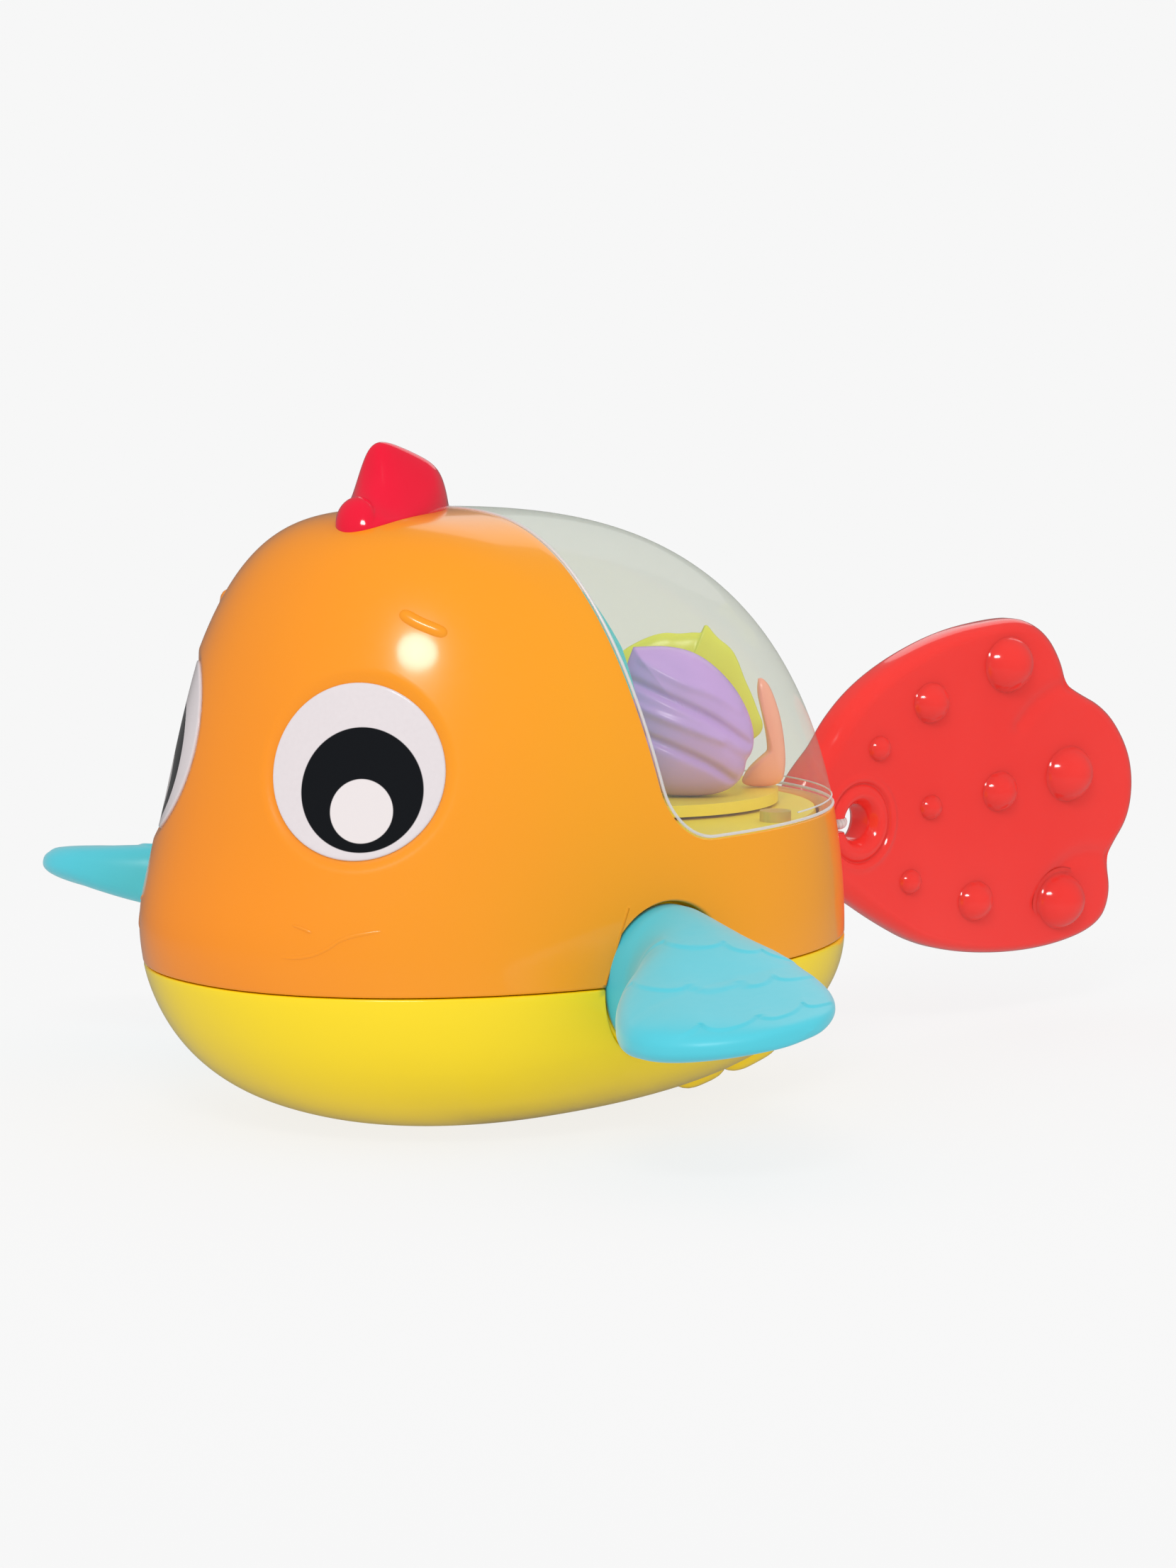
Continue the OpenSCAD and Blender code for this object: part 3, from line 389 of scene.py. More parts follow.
def edge_on_skin(chart, grow):
    """The window's edge on the chart, from the middle line at the crown to the one at the rear. It
    starts where the middle line crosses the leaning edge, found by its distance from that edge."""
    x, z = window_edge(grow).T
    t, u = on_side(x, z)
    keep = (z < SEAM_Z + HOOD_H) & (u < np.pi - 1e-4)
    first, last = np.flatnonzero(keep)[[0, -1]]
    middle_t = np.linspace(0.5, np.pi / 2, 4000)
    middle = skin(middle_t, np.full(4000, np.pi))
    beyond = (middle[:, 0] - x[first]) * np.cos(LEAN) - (middle[:, 2] - z[first]) * np.sin(LEAN)
    t[first - 1], u[first - 1] = np.interp(0, beyond, middle_t), np.pi
    return chart.flat(t[first - 1:last + 2], u[first - 1:last + 2])


def seam_with_arch(chart, sign, count_front, count_arch, count_rear):
    """Half of the seam on the chart, from the nose to the rear, with the axle's arch in it."""
    turn = np.linspace(0, np.pi, 200)
    arch_t, arch_u = on_side(AXLE_X + ARCH_R * np.cos(turn), SEAM_Z + sign * ARCH_R * np.sin(turn))
    arch_t = sign * np.abs(arch_t)

    def along_seam(start, end):
        return chart.flat(np.zeros(400), np.linspace(start, end, 400))

    front = resample(along_seam(0, arch_u[0]), count_front)
    arch = resample(chart.flat(arch_t, arch_u), count_arch)
    rear = resample(along_seam(arch_u[-1], np.pi), count_rear)
    return np.concatenate([front[:-1], arch, rear[1:]])


EDGE_R, EDGE_STEPS = 0.4, 5


def rounded_rim(gap, wall):
    """Distances from an edge and depths of the rows that carry a wall round that edge: out of the
    outer face, over a rounded corner, through the wall and round to the inner face."""
    turn = np.linspace(0, np.pi / 2, EDGE_STEPS)
    outer = EDGE_R * np.stack([1 - np.sin(turn), 1 - np.cos(turn)], 1)
    inner = np.stack([outer[::-1, 0], wall - outer[::-1, 1]], 1)
    return np.concatenate([outer, inner]) + (gap, 0)


hood_chart, hull_chart = Chart(1), Chart(-1)
OPENING_GROW, WINDOW_GROW, SEAM_GAP = 0.08, -0.12, 0.08
COLUMNS_FRONT, COLUMNS_ARCH, COLUMNS_REAR = 110, 50, 60
UNDER_ROWS, POLE_SHARE = 30, 0.004


def shell_piece(name, chart, inner, outer, rows, wall, gaps, finish, shape=None, crowding=1.0):
    """A moulded wall between two loops of the chart, or round a middle point where the inner loop
    is one, as a closed mesh. Rays join the loops; each row of points lies at a share of its rays
    and at a depth under the skin. The walls end in rounded rims, two gaps short of the loops."""
    columns = len(outer)
    whole = len(inner) == columns
    ray = outer - inner

    def rim_shares(loop, gap, sign):
        """Shares of the rays that the rim's rows lie away from a loop."""
        step = 1e-3
        a, b = skin(*chart.angles(loop)), skin(*chart.angles(loop + sign * step * ray))
        per_mm = step / np.maximum(np.linalg.norm(a - b, axis=1), 1e-9)
        return rounded_rim(gap, wall)[:, :1] * per_mm

    depths = rounded_rim(0, wall)[:, 1]
    at_outer = 1 - rim_shares(outer, gaps[1], -1)
    at_inner = rim_shares(inner, gaps[0], 1) if whole else np.full((1, columns), POLE_SHARE)
    spread = np.linspace(0, 1, rows)[1:-1, None] ** crowding
    top = at_inner[0] + spread * (at_outer[0] - at_inner[0])
    back = np.linspace(1, 0, UNDER_ROWS)[1:-1, None]
    under = at_inner[-1] + back * (at_outer[-1] - at_inner[-1])
    flush, deep = np.zeros(len(top)), np.full(len(under), wall)
    shares, inset = [top, at_outer, under], [flush, depths, deep]
    if whole:
        shares, inset = [*shares, at_inner[::-1]], [*inset, depths[::-1]]
    else:
        shares, inset = [at_inner, *shares, at_inner], [[0], *inset, [wall]]
    shares, inset = np.concatenate(shares), np.concatenate(inset)[:, None]
    points = skin(*chart.angles(inner + shares[..., None] * ray), inset)
    if shape:
        points = shape(points, inset + 0 * shares)
    rounds = (len(points), columns)
    faces = grid_faces(*rounds, wrap_rows=True) if whole else capped(*rounds)
    return add_piece(name, points, faces, finish)


def smooth_step(v, a, b):
    """0 before a and 1 after b, with a soft S between them: 3 v^2 - 2 v^3."""
    v = np.clip((v - a) / (b - a), 0, 1)
    return v * v * (3 - 2 * v)


def aimed(normal):
    """Level and rising directions in the plane square to a normal."""
    level = np.cross((0, 0, 1), normal)
    level /= np.linalg.norm(level)
    return level, np.cross(normal, level)


def lay_on_skin(centre, level, rise, offsets):
    """Angles (t, u) of the skin's points that lie over given offsets in the plane of two
    directions, by Newton's method from the centre's angles."""
    t, u = (np.full(len(offsets), a) for a in on_side(centre[0], centre[2]))
    frame_of = np.stack([level, rise])
    for _ in range(12):
        p = skin(t, u) @ frame_of.T
        dt = (skin(t + 1e-5, u) @ frame_of.T - p) / 1e-5
        du = (skin(t, u + 1e-5) @ frame_of.T - p) / 1e-5
        miss = offsets + centre @ frame_of.T - p
        det = dt[:, 0] * du[:, 1] - dt[:, 1] * du[:, 0]
        t = t + (miss[:, 0] * du[:, 1] - miss[:, 1] * du[:, 0]) / det
        u = u + (dt[:, 0] * miss[:, 1] - dt[:, 1] * miss[:, 0]) / det
    return t, u


def skin_normal(t, u):
    """Outward unit normals of the skin, from its slopes along t and u."""
    step = 1e-4
    n = np.cross(skin(t, u + step) - skin(t, u - step), skin(t + step, u) - skin(t - step, u))
    return n / np.linalg.norm(n, axis=-1, keepdims=True)


# Hood
# Glossy orange plastic, moulded in one piece from the nose to under the window. A round dish on
# each side takes a printed eye. Screws from the belly hold it on the lower hull.

# The second, darker orange is the tone of the painted shade.
ORANGE, ORANGE_PAINTED_SHADE = (0.96, 0.355, 0.0), (0.935, 0.262, 0.003)
EYE_ANGLES = np.radians((28.8, 32.1))
EYE_AT = skin(*EYE_ANGLES)
EYE_LEVEL, EYE_RISE = aimed(skin_normal(*EYE_ANGLES))
EYE_OUT = np.cross(EYE_LEVEL, EYE_RISE)
EYE_R, DISH_R, DISH_DEEP, DISH_REACH = 12.95, 14.3, 1.1, 9.0
DISH_FALL, DISH_STEP = 0.4, (EYE_R + 0.1, DISH_R + 0.5)
SIDES = ((1, "left"), (-1, "right"))


def dish_depth(q):
    """Depth of an eye's dish at a distance q from its middle: deepest there, so that its floor is
    flatter than the skin, with a rounded step about 1.7 mm wide at its edge."""
    step = 1 - smooth_step(q, *DISH_STEP)
    return DISH_DEEP * (1 - DISH_FALL * (q / DISH_R) ** 2) * step


def sink_dishes(points, inset):
    """Presses both dishes into the outer face, near each eye's middle only."""
    for side in (1, -1):
        off = points * (1, side, 1) - EYE_AT
        near = (np.abs(off @ EYE_OUT) < DISH_REACH) & (inset < 0.1) & (points[..., 1] * side > 0)
        deep = dish_depth(np.hypot(off @ EYE_LEVEL, off @ EYE_RISE)) * near
        points = points - deep[..., None] * EYE_OUT * (1, side, 1)
    return points


# The orange is painted darker over the 70 mm towards the nose and the right: painted shade, not a
# change in the plastic. A soft mottle runs over it.
SHELL_SHINE, SHELL_GRAIN, MOTTLE = (900, 0.06, 0.27), (260, 0.012), 60
orange_shell = Finish("orange_shell", Coat_Weight=0.8, Coat_Roughness=0.11)
x, y, _ = orange_shell.axes(orange_shell.place())
mottle = orange_shell.noise(MOTTLE) - 0.5
shade_to_nose = ((x - 0.5 * y) * 14 + 0.1 + mottle * 0.15).clamped()
orange_shell.set(Base_Color=orange_shell.blend(shade_to_nose, ORANGE, ORANGE_PAINTED_SHADE))
orange_shell.grained(SHELL_SHINE, SHELL_GRAIN)
seam_loop = mirror_loop(seam_with_arch(hood_chart, 1, COLUMNS_FRONT, COLUMNS_ARCH, COLUMNS_REAR))
half_columns = len(seam_loop) // 2 + 1
# Eight columns fewer than reach the seam ahead of the arch's rear end take the leaning edge.
FRONT_COLUMNS = COLUMNS_FRONT + COLUMNS_ARCH - 8


def border_half(grow):
    """Half of the window's edge, shared out among the columns: the leaning edge down to its
    corner, which is the point furthest left and back on the chart, then the level edge."""
    edge = edge_on_skin(hood_chart, grow)
    corner = np.argmax(edge[:, 1] - 0.35 * edge[:, 0])
    lean_part = resample(edge[:corner + 1], FRONT_COLUMNS)
    level_part = resample(edge[corner:], half_columns - FRONT_COLUMNS + 1)
    return np.concatenate([lean_part[:-1], level_part])


hood = shell_piece(
    "hood_shell", hood_chart, mirror_loop(border_half(OPENING_GROW)), seam_loop, 150, WALL,
    (0, SEAM_GAP), orange_shell, sink_dishes, crowding=0.9,
)
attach(hood, "casing")
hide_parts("hood")

# Over each eye stands a short raised brow. Round the muzzle runs a thin wavy line, the mouth, with
# a short mark on the cheek above it. All are moulded with the hood and half sunk in it. Their
# points are (x, y, height over the seam).
BROW = np.array([[35.2, 20.8, 54.9], [34.3, 22.8, 53.8], [33.3, 24.2, 53.0], [30.7, 27.0, 51.6]])
MOUTH = np.array([
    [52.2, 20.5, 5.7], [50.2, 23.1, 5.7], [48.4, 25.1, 6.9], [46.9, 26.4, 8.9], [44.0, 28.8, 9.8],
    [42.6, 29.9, 9.9],
])
CHEEK_MARK = np.array([[50.8, 21.8, 10.5], [50.0, 22.9, 10.0], [49.3, 23.7, 9.4]])


def smooth_line(points, count):
    """A rounded polyline: corners cut again and again, then points set evenly along it."""
    points = np.asarray(points, float)
    for _ in range(4):
        a, b = points[:-1], points[1:]
        cut = np.stack([0.75 * a + 0.25 * b, 0.25 * a + 0.75 * b], 1).reshape(-1, points.shape[1])
        points = np.concatenate([points[:1], cut, points[-1:]])
    return resample(points, count)


def smooth_loop(points, count):
    """The same for a closed outline, whose last point isn't its first again."""
    return smooth_line(np.concatenate([points, points[:1]]), count + 1)[:-1]


def bead_on_skin(name, line, count, radius, sink):
    """A rounded bead of the hood, laid along a line on the left of the skin, and its mirror
    image. sink is how deep its middle lies."""
    line = smooth_line(line + (0, 0, SEAM_Z), count)
    t, u = on_side(line[:, 0], line[:, 2])
    path = skin(t, u) - sink * skin_normal(t, u)
    fat = radius * rounded_ends(np.linspace(-1, 1, len(path)), 6, 0.02)
    for side, word in SIDES:
        bead = tube_piece(f"{name}_{word}", path[::side] * (1, side, 1), fat, orange_shell, 16)
        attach(bead, "casing")


bead_on_skin("brow", BROW, 60, 1.25, 0.72)
bead_on_skin("mouth", MOUTH, 120, 0.42, 0.31)
bead_on_skin("cheek_mark", CHEEK_MARK, 40, 0.30, 0.18)

# Lower hull
# Glossy yellow plastic, the bottom half of the body, with two low fins on each side of the belly
# and an ear in each side that closes the arch behind a flipper's root and carries the paddle axle.

# The second, darker yellow is the tone of the painted shade.
YELLOW, YELLOW_PAINTED_SHADE = (1.0, 0.73, 0.0), (0.98, 0.69, 0.0)
EAR_R, EAR_OUT, EAR_IN = 11.6, 41.1, 38.1

# The yellow is painted darker towards the belly: painted shade on the underside.
yellow_shell = Finish("yellow_shell", Coat_Weight=0.8, Coat_Roughness=0.11)
_, _, z = yellow_shell.axes(yellow_shell.place())
mottle = yellow_shell.noise(MOTTLE) - 0.5
out_of_belly_shade = (z * 60 + mottle * 0.3).clamped()
yellow_shell.set(Base_Color=yellow_shell.blend(out_of_belly_shade, YELLOW_PAINTED_SHADE, YELLOW))
yellow_shell.grained(SHELL_SHINE, SHELL_GRAIN)
hull_loop = mirror_loop(seam_with_arch(hull_chart, -1, 60, 40, 60))
hull = shell_piece(
    "lower_hull_shell", hull_chart, np.zeros((1, 2)), hull_loop, 70, WALL, (0, SEAM_GAP),
    yellow_shell,
)
# The chart of the hull is seen from above, so its faces are turned the other way round.
hull.data.flip_normals()
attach(hull, "casing")
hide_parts("lower_hull")


# The ear's profile as (y, radius): its inner face, its rounded rim, its outer face and a low boss
# round the axle's bore.
EAR_COLUMNS = 96
EAR = np.array([
    (EAR_IN, 9.0), (EAR_IN, EAR_R - 0.4), (EAR_IN + 0.4, EAR_R), (EAR_OUT - 0.5, EAR_R),
    (EAR_OUT - 0.15, EAR_R - 0.15), (EAR_OUT, EAR_R - 0.5), (EAR_OUT, 5.2), (EAR_OUT + 0.3, 4.9),
    (EAR_OUT + 0.3, 2.3),
])
turn = full_turn(EAR_COLUMNS)
ear_y, ear_r = EAR[:, :1], EAR[:, 1:]
rings = np.stack([
    AXLE_X + ear_r * np.cos(turn), ear_y + 0 * turn, SEAM_Z + ear_r * np.sin(turn)
], -1)
for side, word in SIDES:
    ear = add_piece(
        f"ear_{word}", rings * (1, side, 1), capped(len(rings), EAR_COLUMNS), yellow_shell,
        flip=side > 0,
    )
    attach(ear, "casing")

# Each belly fin is a fat lobe with rounded ends, drawn along the belly between two places (x, z).
FIN_Y, FIN_R = 16.0, 3.45
FINS = (((-22.6, 3.4), (-32.8, 5.6)), ((-32.2, 4.7), (-44.2, 8.1)))
share = np.linspace(-1, 1, 41)
for side, word in SIDES:
    for k, (a, b) in enumerate(FINS):
        half = np.array([(b[0] - a[0]) / 2, 0, (b[1] - a[1]) / 2])
        path = ((a[0] + b[0]) / 2, side * FIN_Y, (a[1] + b[1]) / 2) + share[:, None] * half
        fat = FIN_R * rounded_ends(share, 3.5, 0.0005)
        fin = tube_piece(f"belly_fin_{word}_{k + 1}", path, fat, yellow_shell, 32)
        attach(fin, "casing")

# Window
# Clear hard plastic, 2 mm thick, snapped into the hood's opening. A rounded lip runs round its
# border, and a second fine line lies just inside it.

WINDOW_WALL = 2.0
TINT, VEIL = (0.848, 0.865, 0.819), 0.095
EDGE_ON_PAINTED_REFLECTION, CLOUD = 0.3, 0.06


class ClearFinish(Finish):
    """Thin clear plastic: light passes straight through with a tint. A pale veil lies on it
    everywhere, and shows more the more edge-on the plastic is seen; that edge-on rise is painted
    reflection of the pale surround. The outer face carries tint and veil for both; the inner one,
    and all light that falls through, stays clear."""

    def __init__(self, name, tint, veil, **surface):
        super().__init__(name, Metallic=0.3, **surface)
        through = self.node("ShaderNodeBsdfTransparent", {}, (*tint, 1))
        edge_on = self.node("ShaderNodeLayerWeight", {}, Blend=0.5, output="Facing") ** 5
        cloud = (self.noise(90, 4.0) - 0.5) * CLOUD
        # The share of the pale layer that grows edge-on is painted reflection of the pale surround.
        mixed = self.node(
            "ShaderNodeMixShader", {}, (edge_on * EDGE_ON_PAINTED_REFLECTION + veil + cloud).clamped(),
            through, Value(self, self.shader.outputs[0]),
        )
        inner = self.node("ShaderNodeAttribute", dict(attribute_name="inner_face"), output="Fac")
        passing = self.ray("Is Shadow Ray") + self.ray("Is Diffuse Ray")
        self.feed(self.tree.nodes["Material Output"].inputs[0], self.node(
            "ShaderNodeMixShader", {}, (inner + passing).clamped(), mixed,
            self.node("ShaderNodeBsdfTransparent", {}, (1, 1, 1, 1)),
        ))
        self.set(Base_Color=self.blend(edge_on, (0.93, 0.92, 0.93), (0.74, 0.78, 0.76)))


clear_window = ClearFinish("clear_window", TINT, VEIL, Roughness=0.10)
window_depths = []


def note_depths(points, inset):
    """Keeps each point's depth under the skin, which tells the inner face from the outer."""
    window_depths.append(inset)
    return points


# The window's rays start from a point of the chart near its middle.
WINDOW_MIDDLE = np.array([[-0.36, 0.0]])
window = shell_piece(
    "window_shell", hood_chart, WINDOW_MIDDLE, mirror_loop(border_half(WINDOW_GROW)), 60,
    WINDOW_WALL, (0, 0), clear_window, note_depths,
)
layer = window.data.attributes.new("inner_face", "FLOAT", "POINT")
layer.data.foreach_set("value", (window_depths[0] > 0.2 * WINDOW_WALL).astype(float).ravel())
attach(window, "casing")
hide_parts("window")

# Both lines follow the border a little inside it. The lip runs all the way round; the finer line
# leaves out the points nearest the crown.
LIP_POINTS, LIP_SIDES = 260, 12
# The lip's finish is clear plastic drawn mostly pale with a lilac tint: a painted glint of light
# caught in the window's edge, and a painted reflection of the purple shell.
lip_painted_glint = ClearFinish("window_lip", (0.93, 0.90, 0.95), 0.62, Roughness=0.45)
for name, grow, radius, sink, first in (
    ("window_lip", -0.3, 0.24, 0.05, 0), ("window_line", -1.5, 0.13, 0.0, 150),
):
    t, u = hood_chart.angles(resample(edge_on_skin(hood_chart, grow), LIP_POINTS)[first:])
    path = skin(t, u) - sink * skin_normal(t, u)
    path[-1, 1] = 0
    whole = np.concatenate([path, (path * (1, -1, 1))[-2::-1]])
    if first:
        bead = tube_piece(name, whole, radius, lip_painted_glint, LIP_SIDES)
    else:
        whole[[0, -1], 1] = 0
        # Two more points at both ends keep the rings square to the path where it closes.
        longer = np.concatenate([whole[-3:-1], whole[:-1], whole[:2]])
        rings = tube(longer, radius, LIP_SIDES)[2:-2]
        faces = grid_faces(len(rings), LIP_SIDES, wrap_rows=True)
        bead = add_piece(name, rings, faces, lip_painted_glint)
    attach(bead, "casing")

# Eyes
# Each eye is a thin round plate, printed off-white with a dark pupil and a pale glint in it, and
# pressed into the hood's dish. The right eye is the left one's mirror image.

PUPIL_AT, PUPIL_R = (0.99, -2.65), 9.1
GLINT_AT, GLINT_R = (1.24, -5.73), 4.65
PRINT_SPAN, PRINT_SOFT = 40, 0.12

eye_print = Finish("eye_print", Specular_IOR_Level=0.3)
level_at, rise_at, _ = eye_print.axes(eye_print.node("ShaderNodeUVMap", dict(uv_map="eye_plane")))


def printed_disc(middle, radius):
    """1 inside a circle of the eye's plane. The plane's coordinates run from 0 to 1 over the
    print's span, and the eye's middle is at 0.5."""
    across, up = (at - (m / PRINT_SPAN + 0.5) for at, m in zip((level_at, rise_at), middle))
    distance = (across * across + up * up) ** 0.5
    return distance.below(radius / PRINT_SPAN, PRINT_SOFT / PRINT_SPAN)


dots = eye_print.noise(1500)
base = eye_print.blend(dots, (0.70, 0.640, 0.655), (0.74, 0.680, 0.695))
dark = eye_print.blend(printed_disc(PUPIL_AT, PUPIL_R), base, (0.006, 0.007, 0.009))
eye_print.set(
    Base_Color=eye_print.blend(printed_disc(GLINT_AT, GLINT_R), dark, (0.77, 0.71, 0.71)),
    Roughness=dots * 0.04 + 0.10,
)
# The plate follows the dish's floor at its own thickness, and its rim is rounded: a few rings at
# a radius and a height over the floor.
EYE_COLUMNS, EYE_THICK, EYE_SUNK = 96, 0.4, 0.1
EYE_RIM = ((EYE_R - 0.07, 0.33), (EYE_R, 0.15), (EYE_R, -EYE_SUNK))
q = np.linspace(0.02, 1, 30)[:, None] * (EYE_R - 0.25)
turn = full_turn(EYE_COLUMNS)
offsets = np.stack([q * np.cos(turn), q * np.sin(turn)], -1).reshape(-1, 2)
t, u = lay_on_skin(EYE_AT, EYE_LEVEL, EYE_RISE, offsets)
floor_at = skin(t, u).reshape(len(q), EYE_COLUMNS, 3) - dish_depth(q)[..., None] * EYE_OUT
outwards = np.cos(turn)[:, None] * EYE_LEVEL + np.sin(turn)[:, None] * EYE_RISE
rings = np.concatenate([
    floor_at + EYE_THICK * EYE_OUT,
    *(floor_at[-1:] + (r - q[-1]) * outwards + lift * EYE_OUT for r, lift in EYE_RIM),
    floor_at[-1:] - EYE_SUNK * EYE_OUT,
])
plane = (rings - EYE_AT).reshape(-1, 3)
flat = np.stack([plane @ EYE_LEVEL, plane @ EYE_RISE], 1) / PRINT_SPAN + 0.5
faces = capped(len(rings), EYE_COLUMNS)
for side, word in SIDES:
    eye = add_piece(f"eye_{word}", rings * (1, side, 1), faces, eye_print, flip=side < 0)
    corners = np.zeros(len(eye.data.loops), int)
    eye.data.loops.foreach_get("vertex_index", corners)
    layer = eye.data.uv_layers.new(name="eye_plane")
    layer.data.foreach_set("uv", flat[corners].ravel())
    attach(eye, "casing")
    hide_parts(f"{word}_eye")

# Crest
# Glossy red plastic, a wavy comb pushed into the crown from above by two pins. It has a low bump
# in front, a hollow and a high peak that slopes away to the rear.

# The comb's foot on the crown as (x, y), and its ridge as (x, height over the crown).
FOOT = np.array([
    (8.8, 0.0), (12.0, 3.4), (18.0, 6.9), (24.0, 8.5), (28.0, 8.8), (31.0, 7.9), (32.9, 5.6),
    (32.6, 2.8), (31.2, 0.8), (29.5, -1.2), (27.5, -2.8), (25.0, -4.4), (21.0, -5.2),
    (17.0, -4.6), (12.5, -2.6),
])
RIDGE = np.array([
    (8.8, 1.6), (9.6, 3.0), (10.4, 4.2), (11.6, 5.8), (13.6, 7.3), (16.7, 8.7), (19.9, 9.9),
    (21.4, 10.3), (22.6, 10.35), (23.6, 9.8), (24.4, 8.4), (25.2, 6.2), (26.0, 4.5), (27.0, 3.3),
    (29.0, 2.3), (32.0, 0.1),
])
RIDGE_Y, RIDGE_BEND, RIDGE_LEFT, RIDGE_RIGHT, RIDGE_POWER = 0.4, 3.0, 5.0, 3.9, 2.4
BENDS_OVER, WIDENS_OVER = (23.5, 30.0), (5.0, 15.0)
BUMP_AT, BUMP_HALF, BUMP_H = (30.4, 3.9), (2.8, 4.2), 3.2
COMB_MIDDLE, COMB_SUNK, COMB_COLUMNS = np.array([20.0, 1.0]), 0.9, 240
SECTION_SUM_POWER = 2.176


def crown_height(x, y):
    """Height of the hood over points (x, y), by halving the range of t: a point is inside the
    level section at t while the sum of its two shares, each to a power of 2 / 0.919, is under 1."""
    low, high = 0 * x + 0 * y, np.pi / 2 + 0 * x + 0 * y
    for _ in range(40):
        t = (low + high) / 2
        ahead, front, rear, side = level_section(t)
        shares = (x - ahead) / np.where(x > ahead, front, rear), y / side
        total = sum(np.abs(share) ** SECTION_SUM_POWER for share in shares)
        low, high = np.where(total < 1, t, low), np.where(total < 1, high, t)
    return SEAM_Z + HOOD_H * np.sin(low)


def comb_height(x, y):
    """Height of the comb over the crown: a ridge with bell-shaped sections, which bends to the
    left in front, and half a ball for the bump, joined as the root of the sum of their squares."""
    ridge = smooth_line(RIDGE, 400)
    off = y - RIDGE_Y - RIDGE_BEND * smooth_step(x, *BENDS_OVER)
    half = np.where(off > 0, RIDGE_LEFT, RIDGE_RIGHT) * smooth_step(x, *WIDENS_OVER)
    peak = np.interp(x, *ridge.T) * np.exp(-np.abs(off / half) ** RIDGE_POWER)
    ball = 1 - ((x - BUMP_AT[0]) / BUMP_HALF[0]) ** 2 - ((y - BUMP_AT[1]) / BUMP_HALF[1]) ** 2
    return np.sqrt(peak ** 2 + BUMP_H ** 2 * np.clip(ball, 0, 1))


red_crest = Finish("red_crest", Coat_Weight=0.6, Coat_Roughness=0.06)
red_crest.patchy(90, (0.78, 0.004, 0.028), (0.86, 0.008, 0.040))
red_crest.grained((700, 0.05, 0.09), (220, 0.015))
foot_loop = smooth_loop(FOOT, COMB_COLUMNS)
near_foot = 1 - 0.06 * np.linspace(1, 0, 9)[1:] ** 2
share = np.concatenate([np.linspace(0.012, 0.94, 70), near_foot])[:, None, None]
flat = COMB_MIDDLE + share * (foot_loop - COMB_MIDDLE)
x, y = flat[..., 0], flat[..., 1]
crown = crown_height(x, y)
lift = comb_height(x, y) * np.sqrt(1 - share[..., 0] ** 14)
top = np.stack([x, y, crown + lift], -1)
under = np.stack([x, y, crown - COMB_SUNK], -1)[::-6]
rings = np.concatenate([top, under])
crest = add_piece("crest_comb", rings, capped(len(rings), COMB_COLUMNS), red_crest)
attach(crest, "casing")
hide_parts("crest")

# Inside the body
# A yellow deck closes the lower hull and carries a turntable with three sea figures. Below it a
# white frame holds the paddles' axle, the gears, the cord's drum and its spring. Their shapes are
# the CAD's.

inside_finishes = {}
for name, pale, deep, shine, grain in (
    ("yellow_inside", (1.0, 0.79, 0.06), (1.0, 0.74, 0.04), 0.30, 0.02),
    ("teal_panel", (0.12, 0.62, 0.62), (0.08, 0.54, 0.56), 0.24, 0.02),
    ("white_plastic", (0.80, 0.79, 0.76), (0.74, 0.73, 0.70), 0.42, 0.03),
    ("red_gear", (0.62, 0.045, 0.030), (0.55, 0.035, 0.025), 0.40, 0.03),
):
    finish = Finish(name, Specular_IOR_Level=0.35)
    finish.patchy(110, deep, pale).grained((800, 0.08, shine), (500, grain))
    inside_finishes[name] = finish
# Turned or rolled metal shows fine marks round the Y axis.
for name, pale, shine, metal in (
    ("steel", (0.60, 0.60, 0.62), 0.22, 1.0),
    ("spring_steel", (0.20, 0.23, 0.30), 0.30, 1.0),
    ("yellow_zinc", (0.86, 0.66, 0.16), 0.32, 0.5),
):
    finish = Finish(name, Metallic=metal)
    x, y, z = finish.axes(finish.place())
    marks = finish.node("ShaderNodeCombineXYZ", {}, x * 90, y * 2600, z * 90)
    turning = finish.noise(1, 3, marks)
    finish.set(
        Base_Color=finish.blend(turning, tuple(0.8 * c for c in pale), pale),
        Roughness=turning * 0.15 + shine,
        Normal=finish.bump(turning, 0.01),
    )
    inside_finishes[name] = finish
for word, members in (
    ("yellow_inside", "deck turntable"),
    ("teal_panel", "backdrop"),
    ("white_plastic", "drive_frame left_bush right_bush cord_drum spring_case cord_eyelet"),
    ("red_gear", "paddle_gear idler_gear drum_gear crown_pinion crown_gear"),
    ("steel", "body_screws frame_screws idler_pin paddle_axle drum_shaft turntable_spindle"),
    ("yellow_zinc", "deck_screws"),
    ("spring_steel", "mainspring"),
):
    for node in members.split():
        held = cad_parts[node]
        held.data.materials.clear()
        held.data.materials.append(inside_finishes[word].material)

# The teal panel's rim stands out behind the window's leaning edge as a narrow band, just under
# the clear wall. Each cross-section is a box between two distances from the edge and two depths;
# how far it stands out changes with the way up the edge.
RIM_NEAR, RIM_FROM, RIM_DEEP = 0.9, 1.9, (2.3, 2.9)
RIM_UP, RIM_OUT = (12.5, 14.5, 21.0, 28.0, 34.5), (-0.95, 1.2, 2.4, 1.8, -0.95)
along = np.linspace(RIM_UP[-1], RIM_UP[0], 90)
rim_far = RIM_FROM + np.interp(along, RIM_UP, RIM_OUT)
corner_at = window_edge(0.0)[FRONT_EDGE_POINTS - 1]
line = corner_at + along[:, None] * (np.sin(LEAN), np.cos(LEAN))
box = [(0, 0), (1, 0), (1, 1), (0, 1)]
from_edge = np.stack([rim_far if far else 0 * rim_far + RIM_NEAR for far, _ in box], 1)
side_view = line[:, None] - from_edge[..., None] * (np.cos(LEAN), -np.sin(LEAN))
t, u = on_side(side_view[..., 0], side_view[..., 1])
